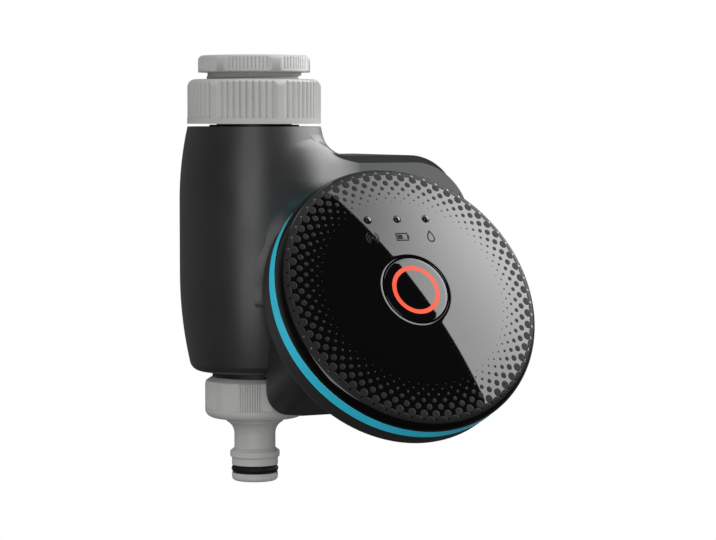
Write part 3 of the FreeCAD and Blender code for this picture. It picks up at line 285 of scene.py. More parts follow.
@dataclass(frozen=True)
class Effect:
    """Node group that finishes share, built at its first use."""

    name: str
    vectors: tuple[str, ...]
    numbers: tuple[str, ...]
    outputs: tuple[str, ...]

    def draw(self, graph: Graph, given: dict[str, Signal]) -> tuple[Signal, ...]:
        """Places the group's nodes.

        Args:
            graph: The group's graph.
            given: The group's inputs by name.

        Returns:
            The outputs, in the order of their names.
        """
        raise NotImplementedError

    def tree(self) -> bpy.types.NodeTree:
        """Builds the group, unless it is there.

        Returns:
            The group.
        """
        if self.name in bpy.data.node_groups:
            return bpy.data.node_groups[self.name]
        tree = bpy.data.node_groups.new(self.name, "ShaderNodeTree")
        for labels, side, kind in ((self.vectors, "INPUT", "Vector"), (self.numbers, "INPUT", "Float"),
                                   (self.outputs, "OUTPUT", "Float")):
            for label in labels:
                tree.interface.new_socket(label, in_out=side, socket_type="NodeSocket" + kind)
        graph = Graph(tree)
        inside, outside = graph.add("NodeGroupInput"), graph.add("NodeGroupOutput")
        given = {label: Signal(graph, inside.outputs[label]) for label in self.vectors + self.numbers}
        for label, value in zip(self.outputs, self.draw(graph, given)):
            graph.put(outside.inputs[label], value)
        return tree


@dataclass(frozen=True)
class MouldedGrain(Effect):
    """Eroded grain of a mould, with a slow change of tone."""

    name: str = "moulded_grain"
    vectors: tuple[str, ...] = ("Place",)
    numbers: tuple[str, ...] = ("Size",)
    outputs: tuple[str, ...] = ("Height", "Tone")
    fine_share: float = 0.65
    coarse_scale: float = 0.31
    tone_scale: float = 55.0
    tone_range: Pair = (0.3, 0.7)

    def draw(self, graph: Graph, given: dict[str, Signal]) -> tuple[Signal, ...]:
        """Mixes fine and coarse noise for the height, and slow noise for the tone.

        Args:
            graph: The group's graph.
            given: The group's inputs by name.

        Returns:
            Height and tone.
        """
        per_metre = graph.math("DIVIDE", 1.0, given["Size"])
        fine = graph.noise(given["Place"], per_metre, 2.0)
        coarse = graph.noise(given["Place"], per_metre * self.coarse_scale, 1.0)
        slow = graph.noise(given["Place"], self.tone_scale)
        return fine * self.fine_share + coarse * (1 - self.fine_share), slow.ramp(*self.tone_range)


@dataclass(frozen=True)
class FaceAxes(Effect):
    """Millimetres across and up the tilted face, and the polar place on it."""

    name: str = "face_axes"
    vectors: tuple[str, ...] = ("Place",)
    numbers: tuple[str, ...] = ()
    outputs: tuple[str, ...] = ("Across", "Up", "Radius", "Turn")

    def draw(self, graph: Graph, given: dict[str, Signal]) -> tuple[Signal, ...]:
        """Turns the place onto the face and scales it.

        Args:
            graph: The group's graph.
            given: The group's inputs by name.

        Returns:
            Across, up, radius, and the turn from 0 to 1.
        """
        turned = graph.fed("ShaderNodeMapping", {
            "Vector": given["Place"],
            "Location": tuple(HEAD_CENTRE),
            "Rotation": (math.radians(90 - HEAD_TILT), 0.0, 0.0),
        }, vector_type="TEXTURE")
        scaled = graph.fed("ShaderNodeVectorMath", {0: turned, "Scale": 1 / MM}, operation="SCALE")
        across, up, _ = graph.split(scaled)
        turn = up.math("ARCTAN2", across).math("DIVIDE", FULL_TURN)
        return across, up, (across * across + up * up).root(), turn


@dataclass(frozen=True)
class DotRows(Effect):
    """Rows of dots that shrink towards the middle of the face, cut off at its rim, in millimetres."""

    name: str = "dot_rows"
    vectors: tuple[str, ...] = ()
    numbers: tuple[str, ...] = ("Radius", "Turn")
    outputs: tuple[str, ...] = ("Mask", "Height")
    count: int = 62
    limit: float = 46.4
    rings: tuple[float, ...] = (46.65, 43.6, 41.1, 38.95, 36.95, 35.15, 33.6)
    dots: tuple[float, ...] = (2.42, 1.42, 1.05, 0.76, 0.5, 0.33, 0.2)
    print_edge: Pair = (-0.05, 0.05)
    relief_edge: Pair = (-0.02, 0.28)

    def draw(self, graph: Graph, given: dict[str, Signal]) -> tuple[Signal, ...]:
        """Draws a ring of dots for each row, every other ring half a step on.

        Args:
            graph: The group's graph.
            given: The group's inputs by name.

        Returns:
            Mask and height.
        """
        radius, offsets = given["Radius"], []
        for half in (0.0, 0.5):
            share = given["Turn"].math("MULTIPLY_ADD", float(self.count), half).math("FRACT") - 0.5
            offsets.append(share * radius * (FULL_TURN / self.count))
        depth = self.limit - radius
        inked = None
        for row, (ring, dot) in enumerate(zip(self.rings, self.dots)):
            away, across = radius - ring, offsets[row % 2]
            inner = dot - (away * away + across * across).root()
            inked = inner if inked is None else inked.most(inner)
        depth = inked.least(depth)
        return depth.ramp(*self.print_edge), depth.ramp(*self.relief_edge)


@dataclass(frozen=True)
class LampSigns(Effect):
    """Printed signs below the lamps, in millimetres: radio waves, a battery and a water drop."""

    name: str = "lamp_signs"
    vectors: tuple[str, ...] = ()
    numbers: tuple[str, ...] = ("Across", "Up")
    outputs: tuple[str, ...] = ("Mask",)
    pitch: float = 11.1
    height: float = 19.8
    line: float = 0.24
    edge: float = 0.05
    wave_dot: Pair = (0.55, 0.4)
    wave_radii: Pair = (1.3, 2.2)
    wave_spread: float = 1.5
    case: Pair = (2.1, 1.3)
    nub: Pair = (0.3, 0.65)
    nub_place: float = 2.45
    charge: Pair = (0.95, 0.85)
    charge_place: float = -0.75
    drop_outer: Point = (-2.2, 4.7, 1.5)
    drop_inner: Point = (-1.65, 3.2, 0.98)
    drop_scale: float = 2.598

    def draw(self, graph: Graph, given: dict[str, Signal]) -> tuple[Signal, ...]:
        """Draws the three signs side by side.

        Args:
            graph: The group's graph.
            given: The group's inputs by name.

        Returns:
            The mask.
        """
        across, up = given["Across"], given["Up"] - self.height
        waves = self.waves(across + self.pitch, up)
        return (waves.most(self.battery(across, up).most(self.drop(across - self.pitch, up))),)

    def sharp(self, distance: Signal) -> Signal:
        """Mask of where a distance is above zero."""
        return distance.ramp(-self.edge, self.edge)

    def stroke(self, distance: Signal) -> Signal:
        """Mask of a line where a distance is near zero."""
        return abs(distance).ramp(self.line + self.edge, self.line - self.edge)

    def waves(self, across: Signal, up: Signal) -> Signal:
        """Draws a dot between two pairs of arcs.

        Args:
            across: Place across from the sign's middle.
            up: Place up from the sign's middle.

        Returns:
            The sign's mask.
        """
        radius = (across * across + up * up).root()
        inner, outer = (self.stroke(radius - ring) for ring in self.wave_radii)
        sector = self.sharp(abs(across) * self.wave_spread - abs(up))
        return radius.ramp(*self.wave_dot).most(inner.most(outer) * sector)

    def panel(self, across: Signal, up: Signal, half: Pair) -> Signal:
        """Distance from a rectangle, below zero inside.

        Args:
            across: Place across from its middle.
            up: Place up from its middle.
            half: Half its width and height.

        Returns:
            The distance.
        """
        return (abs(across) - half[0]).most(abs(up) - half[1])

    def battery(self, across: Signal, up: Signal) -> Signal:
        """Draws a cell with a nub and half its charge.

        Args:
            across: Place across from the sign's middle.
            up: Place up from the sign's middle.

        Returns:
            The sign's mask.
        """
        mask = self.stroke(self.panel(across, up, self.case))
        for place, half in ((self.nub_place, self.nub), (self.charge_place, self.charge)):
            mask = mask.most(self.panel(across - place, up, half).ramp(self.edge, -self.edge))
        return mask

    def drop(self, across: Signal, up: Signal) -> Signal:
        """Draws the outline of a water drop.

        Args:
            across: Place across from the sign's middle.
            up: Place up from the sign's middle.

        Returns:
            The sign's mask.
        """
        masks = []
        for foot, height, wide in (self.drop_outer, self.drop_inner):
            share = (up - foot).math("DIVIDE", height)
            width = (1.0 - share) * share.most(0.0).root() * (wide * self.drop_scale)
            masks.append(self.sharp(width - abs(across)))
        return (masks[0] - masks[1]).most(0.0)


GRAIN = MouldedGrain()
FACE_AXES = FaceAxes()
DOT_ROWS = DotRows()
LAMP_SIGNS = LampSigns()


def plain_material(name: str) -> tuple[bpy.types.Material, Graph, bpy.types.Node]:
    """Starts a material with Blender's plain shader.

    Args:
        name: The material's name.

    Returns:
        The material, its graph and its Principled node.
    """
    material = bpy.data.materials.new(name)
    material.use_nodes = True
    shader = next(n for n in material.node_tree.nodes if n.type == "BSDF_PRINCIPLED")
    return material, Graph(material.node_tree), shader


@dataclass(frozen=True)
class Finish:
    """A surface finish; its slot also names its material."""

    slot: str
    colour: Colour

    def tint(self, factor: float, colour: Colour | None = None) -> Colour:
        """The finish's or another colour, darker or lighter by a factor."""
        red, green, blue, _ = (min(1.0, channel * factor) for channel in colour or self.colour)
        return (red, green, blue, 1.0)

    def inputs(self, graph: Graph, place: Signal) -> dict[str, object]:
        """Shader inputs of the finish.

        Args:
            graph: The material's graph.
            place: Object coordinates.

        Returns:
            Signals and constants by the shader's input names.
        """
        raise NotImplementedError

    def material(self) -> bpy.types.Material:
        """Builds the finish's material, unless it is there.

        Returns:
            The material.
        """
        name = "finish_" + self.slot
        if name in bpy.data.materials:
            return bpy.data.materials[name]
        material, graph, shader = plain_material(name)
        for label, value in self.inputs(graph, graph.place()).items():
            graph.put(shader.inputs[label], value)
        return material

    def dress(self, piece: bpy.types.Object) -> None:
        """Gives a piece this finish alone."""
        piece.data.materials.clear()
        piece.data.materials.append(self.material())


@dataclass(frozen=True)
class Moulding(Finish):
    """Moulded plastic or rubber with an eroded grain."""

    roughness: float = 0.45
    spread: float = 0.06
    grain: float = 0.0003
    depth: float = 0.00003
    mottling: float = 0.08
    specular: float = 0.5

    def inputs(self, graph: Graph, place: Signal) -> dict[str, object]:
        """Shader inputs of the finish.

        Args:
            graph: The material's graph.
            place: Object coordinates.

        Returns:
            Signals and constants by the shader's input names.
        """
        grain = graph.effect(GRAIN, Place=place, Size=self.grain)
        darker, lighter = self.tint(1 - self.mottling), self.tint(1 + self.mottling)
        return {
            "Base Color": graph.mixed(grain["Tone"], darker, lighter),
            "Roughness": grain["Tone"].between(self.roughness - self.spread, self.roughness + self.spread),
            "Specular IOR Level": self.specular,
            "Normal": graph.bump(grain["Height"], self.depth),
        }


@dataclass(frozen=True)
class DomeGloss(Finish):
    """Polished black moulding with matt printed dots and signs."""

    print_colour: Colour = shade(30, 30, 31)
    sign_colour: Colour = shade(28, 28, 29)
    print_roughness: float = 0.4
    print_height: float = 0.00008
    gloss: Pair = (0.02, 0.035)
    grain: float = 0.0004
    coat_index: float = 1.8
    coat_roughness: float = 0.02
    specular: float = 0.15

    def inputs(self, graph: Graph, place: Signal) -> dict[str, object]:
        """Shader inputs of the finish.

        Args:
            graph: The material's graph.
            place: Object coordinates.

        Returns:
            Signals and constants by the shader's input names.
        """
        axes = graph.effect(FACE_AXES, Place=place)
        dots = graph.effect(DOT_ROWS, Radius=axes["Radius"], Turn=axes["Turn"])
        signs = graph.effect(LAMP_SIGNS, Across=axes["Across"], Up=axes["Up"])["Mask"]
        polish = graph.effect(GRAIN, Place=place, Size=self.grain)["Tone"].between(*self.gloss)
        polished = graph.mixed(signs, self.colour, self.sign_colour)
        matt = dots["Mask"].most(signs)
        return {
            "Base Color": graph.mixed(dots["Mask"], polished, self.print_colour),
            "Roughness": matt.math("MULTIPLY_ADD", self.print_roughness, polish),
            "Coat Weight": 1.0 - matt,
            "Coat Roughness": self.coat_roughness,
            "Coat IOR": self.coat_index,
            "Specular IOR Level": self.specular,
            "Normal": graph.bump(dots["Height"], self.print_height),
        }


@dataclass(frozen=True)
class LitRing(Finish):
    """Translucent ring, lit from below."""

    light: Colour = (1.0, 0.075, 0.008, 1.0)
    glow: float = 0.62
    grain: float = 0.0006
    deepest: float = 0.85
    dimmest: float = 0.9
    roughness: Pair = (0.25, 0.35)

    def inputs(self, graph: Graph, place: Signal) -> dict[str, object]:
        """Shader inputs of the finish.

        Args:
            graph: The material's graph.
            place: Object coordinates.

        Returns:
            Signals and constants by the shader's input names.
        """
        tone = graph.effect(GRAIN, Place=place, Size=self.grain)["Tone"]
        return {
            "Base Color": graph.mixed(tone, self.tint(self.deepest), self.colour),
            "Emission Color": graph.mixed(tone, self.tint(self.dimmest, self.light), self.light),
            "Emission Strength": self.glow,
            "Roughness": tone.between(*self.roughness),
        }


@dataclass(frozen=True)
class SmokedLens(Finish):
    """Smoked clear rods with polished ends."""

    grain: float = 0.0005
    clearest: float = 1.6
    roughness: Pair = (0.04, 0.09)
    coat: float = 0.6
    coat_roughness: float = 0.03

    def inputs(self, graph: Graph, place: Signal) -> dict[str, object]:
        """Shader inputs of the finish.

        Args:
            graph: The material's graph.
            place: Object coordinates.

        Returns:
            Signals and constants by the shader's input names.
        """
        tone = graph.effect(GRAIN, Place=place, Size=self.grain)["Tone"]
        return {
            "Base Color": graph.mixed(tone, self.colour, self.tint(self.clearest)),
            "Roughness": tone.between(*self.roughness),
            "Coat Weight": self.coat,
            "Coat Roughness": self.coat_roughness,
        }


@dataclass(frozen=True)
class PlatedMetal(Finish):
    """Plated or sintered metal with fine drawing lines."""

    roughness: float = 0.28
    smoother: float = 0.08
    rougher: float = 0.1
    stretch: float = 6.0
    grain: float = 0.0004
    dullest: float = 0.86
    depth: float = 0.00001

    def inputs(self, graph: Graph, place: Signal) -> dict[str, object]:
        """Shader inputs of the finish.

        Args:
            graph: The material's graph.
            place: Object coordinates.

        Returns:
            Signals and constants by the shader's input names.
        """
        drawn = graph.fed("ShaderNodeMapping", {"Vector": place, "Scale": (1.0, 1.0, self.stretch)})
        grain = graph.effect(GRAIN, Place=drawn, Size=self.grain)
        low, high = self.roughness - self.smoother, self.roughness + self.rougher
        return {
            "Base Color": graph.mixed(grain["Tone"], self.tint(self.dullest), self.colour),
            "Metallic": 1.0,
            "Roughness": grain["Height"].between(low, high),
            "Normal": graph.bump(grain["Height"], self.depth),
        }


@dataclass(frozen=True)
class CopperWinding(Finish):
    """Enamelled wire in close turns."""

    wire: float = 0.00035
    grain: float = 0.0008
    shadow: float = 0.35
    metallic: float = 0.9
    roughness: Pair = (0.25, 0.4)

    def inputs(self, graph: Graph, place: Signal) -> dict[str, object]:
        """Shader inputs of the finish.

        Args:
            graph: The material's graph.
            place: Object coordinates.

        Returns:
            Signals and constants by the shader's input names.
        """
        _, _, height = graph.split(place)
        turns = (height * (FULL_TURN / self.wire)).sine().ramp(-1.0, 1.0)
        tone = graph.effect(GRAIN, Place=place, Size=self.grain)["Tone"]
        return {
            "Base Color": graph.mixed(turns, self.tint(self.shadow), self.colour),
            "Metallic": self.metallic,
            "Roughness": tone.between(*self.roughness),
            "Normal": graph.bump(turns, self.wire / 2),
        }


@dataclass(frozen=True)
class SolderMask(Finish):
    """Circuit board with tracks and pads under its mask."""

    track: Colour = shade(38, 120, 62)
    track_share: float = 0.8
    track_width: Pair = (0.35, 0.5)
    track_height: float = 0.00003
    lanes: float = 0.9
    bend: float = 9.0
    bend_scale: float = 90.0
    pad: Colour = shade(205, 190, 140)
    pad_scale: float = 210.0
    pad_edge: Pair = (0.16, 0.12)
    pad_metallic: float = 0.9
    roughness: Pair = (0.32, 0.24)

    def inputs(self, graph: Graph, place: Signal) -> dict[str, object]:
        """Shader inputs of the finish.

        Args:
            graph: The material's graph.
            place: Object coordinates.

        Returns:
            Signals and constants by the shader's input names.
        """
        across = graph.effect(FACE_AXES, Place=place)["Across"]
        lane = across * self.lanes + graph.noise(place, self.bend_scale, 0.0) * self.bend
        tracks = (lane * FULL_TURN).sine().ramp(*self.track_width)
        cells = {"Vector": place, "Scale": self.pad_scale}
        pads = graph.fed("ShaderNodeTexVoronoi", cells, "Distance", feature="F1").ramp(*self.pad_edge)
        masked = graph.mixed(tracks * self.track_share, self.colour, self.track)
        return {
            "Base Color": graph.mixed(pads, masked, self.pad),
            "Metallic": pads * self.pad_metallic,
            "Roughness": tracks.between(*self.roughness),
            "Normal": graph.bump(tracks, self.track_height),
        }


@dataclass(frozen=True)
class StrainerMesh(Finish):
    """Woven strainer cloth."""

    pitch: float = 0.0006
    radius: float = 0.0085
    hole_edge: Pair = (0.45, 0.6)
    shadow: float = 0.12
    roughness: Pair = (0.45, 0.7)
    depth: float = 0.00012

    def inputs(self, graph: Graph, place: Signal) -> dict[str, object]:
        """Shader inputs of the finish.

        Args:
            graph: The material's graph.
            place: Object coordinates.

        Returns:
            Signals and constants by the shader's input names.
        """
        across, along, height = graph.split(place)
        turn = along.math("ARCTAN2", across) * (self.radius / self.pitch)
        warp = abs((turn * math.pi).sine())
        weft = abs((height * (math.pi / self.pitch)).sine())
        hole = warp.least(weft).ramp(*self.hole_edge)
        return {
            "Base Color": graph.mixed(hole, self.colour, self.tint(self.shadow)),
            "Roughness": hole.between(*self.roughness),
            "Normal": graph.bump(1.0 - hole, self.depth),
        }


@dataclass(frozen=True)
class CellWrap(Finish):
    """Plain printed wrap of a cell, with a band at its upper end."""

    band: Colour = shade(176, 120, 62)
    band_from: float = -0.062
    band_edge: float = 0.0001
    band_metallic: float = 0.6
    grain: float = 0.0009
    roughness: Pair = (0.22, 0.34)

    def inputs(self, graph: Graph, place: Signal) -> dict[str, object]:
        """Shader inputs of the finish.

        Args:
            graph: The material's graph.
            place: Object coordinates.

        Returns:
            Signals and constants by the shader's input names.
        """
        _, _, height = graph.split(place)
        upper = height.ramp(self.band_from - self.band_edge, self.band_from + self.band_edge)
        tone = graph.effect(GRAIN, Place=place, Size=self.grain)["Tone"]
        return {
            "Base Color": graph.mixed(upper, self.colour, self.band),
            "Metallic": upper * self.band_metallic,
            "Roughness": tone.between(*self.roughness),
        }


@dataclass(frozen=True)
class Finishes:
    """All the finishes of the controller."""

    housing: Moulding = Moulding("housing", shade(36, 37, 37), roughness=0.4, spread=0.03, grain=0.0005,
                                 depth=0.00002, specular=1.0)
    fitting: Moulding = Moulding("fitting_grey", shade(170, 170, 168), roughness=0.42, grain=0.0006,
                                 depth=0.00001, mottling=0.03)
    ring: Moulding = Moulding("ring_blue", shade(42, 196, 226), roughness=0.38, grain=0.0004,
                              depth=0.00001, mottling=0.05)
    face: DomeGloss = DomeGloss("face_black", shade(6, 6, 7))
    glow: LitRing = LitRing("light_orange", (0.35, 0.03, 0.01, 1.0))
    lens: SmokedLens = SmokedLens("clear_pipe", shade(16, 16, 18))
    body: Moulding = Moulding("body_black", shade(30, 30, 31), roughness=0.5)
    inner: Moulding = Moulding("inner_grey", shade(150, 152, 154), roughness=0.5, depth=0.00002)
    rubber: Moulding = Moulding("rubber_black", shade(16, 16, 16), roughness=0.62, grain=0.0007,
                                depth=0.00005)
    strainer: StrainerMesh = StrainerMesh("filter_mesh", shade(214, 214, 208))
    steel: PlatedMetal = PlatedMetal("steel", shade(196, 197, 199))
    copper: CopperWinding = CopperWinding("copper_coil", shade(196, 118, 66))
    board: SolderMask = SolderMask("board_green", shade(22, 84, 44))
    lamp: Moulding = Moulding("lamp_white", shade(236, 234, 222), roughness=0.3, depth=0.00001)
    cell: CellWrap = CellWrap("cell_wrap", shade(46, 50, 56))
    contact: PlatedMetal = PlatedMetal("contact_metal", shade(205, 200, 188), roughness=0.24)
    magnet: PlatedMetal = PlatedMetal("magnet", shade(96, 97, 100), roughness=0.5, stretch=1.0)


FINISH = Finishes()


class Bench:
    """Modelling helpers: each leaves a finished piece at the origin."""

    merge_distance: float = 1e-7
    node_merge_distance: float = 1e-6

    @staticmethod
    def clear() -> None:
        """Deselects everything, outside edit mode."""
        if bpy.context.object and bpy.context.object.mode != "OBJECT":
            bpy.ops.object.mode_set(mode="OBJECT")
        bpy.ops.object.select_all(action="DESELECT")

    @staticmethod
    def pick(piece: bpy.types.Object) -> None:
        """Selects one piece and makes it active.

        Args:
            piece: The piece.
        """
        Bench.clear()
        piece.select_set(True)
        bpy.context.view_layer.objects.active = piece

    @staticmethod
    @contextmanager
    def editing(action: str | None = "SELECT") -> Iterator[None]:
        """Edit mode on the active piece, until the block ends.

        Args:
            action: What is done to the selection first, or None to keep it.

        Yields:
            Nothing.
        """
        bpy.ops.object.mode_set(mode="EDIT")
        if action:
            bpy.ops.mesh.select_all(action=action)
        yield
        bpy.ops.object.mode_set(mode="OBJECT")

    @staticmethod
    def modify(piece: bpy.types.Object, kind: str, **settings: object) -> None:
        """Applies a modifier to the active piece.

        Args:
            piece: The active piece.
            kind: The modifier's type.
            **settings: Its properties.
        """
        modifier = piece.modifiers.new(kind.lower(), kind)
        for key, value in settings.items():
            setattr(modifier, key, value)
        bpy.ops.object.modifier_apply(modifier=modifier.name)

    @staticmethod
    def copy_node(node: str, name: str) -> bpy.types.Object:
        """Copies a CAD node's mesh into a new piece with its doubles merged.

        Args:
            node: The CAD node.
            name: The new piece's name.

        Returns:
            The new piece.
        """
        piece = bpy.data.objects.new(name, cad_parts[node].data.copy())
        bpy.context.scene.collection.objects.link(piece)
        Bench.pick(piece)
        with Bench.editing():
            bpy.ops.mesh.remove_doubles(threshold=Bench.node_merge_distance)
        return piece

    @staticmethod
    def cut(piece: bpy.types.Object, tool: bpy.types.Object) -> None:
        """Cuts a tool out of a piece and removes the tool.

        Args:
            piece: The piece.
            tool: The tool.
        """
        Bench.pick(piece)
        Bench.modify(piece, "BOOLEAN", operation="DIFFERENCE", solver="EXACT", object=tool)
        bpy.data.objects.remove(tool, do_unlink=True)

    @staticmethod
    def settle(piece: bpy.types.Object, smooth: float = 35.0) -> None:
        """Puts a piece's place into its mesh, turns its faces outwards and smooths it.

        Args:
            piece: The piece.
            smooth: Greatest angle between faces that are smoothed together, in degrees.
        """
        Bench.pick(piece)
        bpy.ops.object.transform_apply(location=True, rotation=True, scale=True)
        with Bench.editing():
            bpy.ops.mesh.remove_doubles(threshold=Bench.merge_distance)
            bpy.ops.mesh.normals_make_consistent(inside=False)
        bpy.ops.object.shade_smooth_by_angle(angle=math.radians(smooth))

    @staticmethod
    def outline(name: str, profile: list[Pair], place: Point = (0.0, 0.0, 0.0)) -> bpy.types.Object:
        """Closed line in an upright plane.

        Args:
            name: The piece's name.
            profile: Corners as radius and height, in metres.
            place: Where the profile's origin is.

        Returns:
            The line, ready to be turned or wound.
        """
        Bench.clear()
        bpy.ops.mesh.primitive_circle_add(vertices=len(profile), radius=MM, fill_type="NOTHING",
                                          location=place)
        piece = bpy.context.object
        piece.name = name
        for vertex, (radius, height) in zip(piece.data.vertices, profile):
            vertex.co = Vector((radius, 0.0, height))
        return piece

    @staticmethod
    def helix(name: str, profile: list[Pair], start: float, pitch: float, turns: float,
              middle: Pair = (0.0, 0.0), steps: int = 48) -> bpy.types.Object:
        """Winds a closed profile up round an upright axis.

        Args:
            name: The piece's name.
            profile: Corners as radius and height, in metres.
            start: Height of the profile's origin.
            pitch: Rise of a turn.
            turns: Number of turns.
            middle: The axis, as x and y.
            steps: Steps in a turn.

        Returns:
            The wound piece with closed ends.
        """
        piece = Bench.outline(name, profile, (*middle, start))
        total = max(3, int(steps * turns))
        Bench.modify(piece, "SCREW", angle=FULL_TURN * turns, screw_offset=pitch * turns, steps=total,
                     render_steps=total, use_merge_vertices=False)
        with Bench.editing("DESELECT"):
            bpy.ops.mesh.select_mode(type="VERT")
            bpy.ops.mesh.select_non_manifold()
            bpy.ops.mesh.fill_holes(sides=0)
        return piece

    @staticmethod
    def lathe(name: str, profile: list[Pair], steps: int = 192) -> bpy.types.Object:
        """Turns a closed profile about the head's axis and puts it in its place.

        Args:
            name: The piece's name.
            profile: Corners as radius and height over the head's plane, in millimetres.
            steps: Steps round the axis.

        Returns:
            The turned piece.
        """
        piece = Bench.outline(name, [(radius * MM, height * MM) for radius, height in profile])
        Bench.modify(piece, "SCREW", angle=FULL_TURN, steps=steps, render_steps=steps,
                     use_merge_vertices=True, merge_threshold=Bench.merge_distance)
        with Bench.editing():
            bpy.ops.mesh.remove_doubles(threshold=Bench.merge_distance)
            bpy.ops.mesh.delete_loose()
        piece.matrix_world = Matrix.Translation(HEAD_CENTRE) @ HEAD_TURN
        return piece

    @staticmethod
    def finish(piece: bpy.types.Object, body: Body, finish: Finish) -> None:
        """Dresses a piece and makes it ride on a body.

        Args:
            piece: The piece.
            body: The body that carries it.
            finish: Its finish.
        """
        finish.dress(piece)
        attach(piece, body.value)
        LOG.info("piece %s rides on %s", piece.name, body.value)


@dataclass(frozen=True)
class CoilSpring:
    """Wound spring of round wire."""

    radius: float
    turns: float
    wire: float = 0.38 * MM
    corners: int = 8
    steps: int = 32
    smooth: float = 60.0

    def build(self, name: str, middle: Pair, low: float, high: float) -> bpy.types.Object:
        """Winds the spring between two levels.

        Args:
            name: The piece's name.
            middle: Its axis, as x and y.
            low: Level of its lower end.
            high: Level of its upper end.

        Returns:
            The spring.
        """
        turned = [step * FULL_TURN / self.corners for step in range(self.corners)]
        profile = [(self.radius + self.wire * math.cos(a), self.wire * math.sin(a)) for a in turned]
        pitch = (high - low - 2 * self.wire) / self.turns
        coil = Bench.helix(name, profile, low + self.wire, pitch, self.turns, middle, self.steps)
        Bench.settle(coil, self.smooth)
        return coil


@dataclass(frozen=True)
class CrossRecess:
    """Driver's cross in a screw head that faces backwards."""

    width: float = 0.7 * MM
    reach: float = 3.0 * MM
    depth: float = 1.0 * MM

    def cut(self, piece: bpy.types.Object, place: Point) -> None:
        """Cuts the cross.

        Args:
            piece: The screws.
            place: Middle of the head's outer face.
        """
        for wide, high in ((self.width, self.reach), (self.reach, self.width)):
            Bench.clear()
            bpy.ops.mesh.primitive_cube_add(size=1.0, location=place)
            bar = bpy.context.object
            bar.scale = (wide, 2 * self.depth, high)
            bpy.ops.object.transform_apply(location=True, rotation=True, scale=True)
            Bench.cut(piece, bar)


class Assembly:
    """A sub-assembly: CAD nodes that keep their shape, and new pieces."""

    nodes: dict[str, Finish] = {}

    def dress(self) -> None:
        """Gives the CAD nodes their finishes."""
        for node, finish in self.nodes.items():
            finish.dress(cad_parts[node])
            LOG.info("node %s has finish %s", node, finish.slot)

    def build(self) -> None:
        """Builds the sub-assembly's own pieces, if it has any."""


@dataclass
class TapConnection(Assembly):
    """Thread adapter and union nut that hold the controller on its tap."""

    nodes: dict[str, Finish] = field(default_factory=lambda: {
        "thread_adapter": FINISH.fitting,
        "adapter_washer": FINISH.rubber,
        "union_nut": FINISH.fitting,
        "inlet_washer": FINISH.rubber,
        "inlet_filter": FINISH.strainer,
    })
    thread_radius: float = 16.32 * MM
    thread_depth: float = 1.1 * MM
    thread_overcut: float = 0.4 * MM
    thread_pitch: float = 2.309 * MM
    thread_foot: float = -16.6 * MM
    thread_head: float = -6.3 * MM
    groove_mouth: float = 0.42
    groove_floor: float = 0.12
    tap_radius: float = 13.22 * MM
    tap_depth: float = 1.0 * MM
    tap_root: float = 0.05 * MM
    tap_pitch: float = 1.814 * MM
    tap_foot: float = -11.2 * MM
    tap_head: float = -1.4 * MM
    ridge_base: float = 0.40
    ridge_crest: float = 0.1
    smooth: float = 30.0

    @staticmethod
    def thread(name: str, radii: Pair, halves: Pair, span: Pair, pitch: float) -> bpy.types.Object:
        """Winds a thread's profile.

        Args:
            name: The piece's name.
            radii: Radius of the profile's wide side and of its narrow side.
            halves: Half the width of each, in pitches.
            span: Level of its foot and of its head.
            pitch: Rise of a turn.

        Returns:
            The wound piece.
        """
        wide, narrow = halves[0] * pitch, halves[1] * pitch
        profile = [(radii[0], -wide), (radii[0], wide), (radii[1], narrow), (radii[1], -narrow)]
        piece = Bench.helix(name, profile, span[0], pitch, (span[1] - span[0]) / pitch)
        Bench.settle(piece)
        return piece

    def build(self) -> None:
        """Builds the adapter with its cut outer thread, and the ridge of its inner thread."""
        adapter = Bench.copy_node("thread_adapter", "threaded_adapter")
        radii = (self.thread_radius + self.thread_overcut, self.thread_radius - self.thread_depth)
        tool = self.thread("thread_groove", radii, (self.groove_mouth, self.groove_floor),
                           (self.thread_foot, self.thread_head), self.thread_pitch)
        Bench.cut(adapter, tool)
        Bench.settle(adapter, self.smooth)
        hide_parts("thread_adapter")
        Bench.finish(adapter, Body.THREAD_ADAPTER, FINISH.fitting)
        radii = (self.tap_radius + self.tap_root, self.tap_radius - self.tap_depth)
        ridge = self.thread("tap_thread_ridge", radii, (self.ridge_base, self.ridge_crest),
                            (self.tap_foot, self.tap_head), self.tap_pitch)
        Bench.finish(ridge, Body.THREAD_ADAPTER, FINISH.fitting)


@dataclass(frozen=True)
class DomeShape:
    """Dome of the face: an arc from its middle to its edge, in millimetres."""

    radius: float = 47.9
    edge: float = 4.1
    rise: float = 3.8

    def height(self, away: float, drop: float = 0.0) -> float:
        """Height over the head's plane.

        Args:
            away: Distance from the face's middle.
            drop: Depth below the dome.

        Returns:
            The height.
        """
        arc = (self.radius ** 2 / self.rise + self.rise) / 2
        return self.edge + self.rise - drop - (arc - math.sqrt(arc ** 2 - away ** 2))

    def run(self, start: float, end: float, drop: float = 0.0, steps: int = 10) -> list[Pair]:
        """Points along the dome.

        Args:
            start: Distance of the first point from the middle.
            end: Distance of the last point.
            drop: Depth below the dome.
            steps: Number of steps between them.

        Returns:
            The points as radius and height.
        """
        places = [start + (end - start) * step / steps for step in range(steps + 1)]
        return [(away, self.height(away, drop)) for away in places]

    def corner(self, inner: Pair, outer: Pair, bulge: Pair, steps: int) -> list[Pair]:
        """Points of a rounded corner between two points.

        Args:
            inner: Its first point.
            outer: Its last point.
            bulge: The sharp corner that it rounds off.
            steps: Number of steps.

        Returns:
            The points between the two ends, without them.
        """
        points = []
        for step in range(1, steps):
            turn = step / steps * math.pi / 2
            near, far = 1 - math.sin(turn), 1 - math.cos(turn)
            points.append((bulge[0] + (inner[0] - bulge[0]) * near + (outer[0] - bulge[0]) * far,
                           bulge[1] + (inner[1] - bulge[1]) * near + (outer[1] - bulge[1]) * far))
        return points


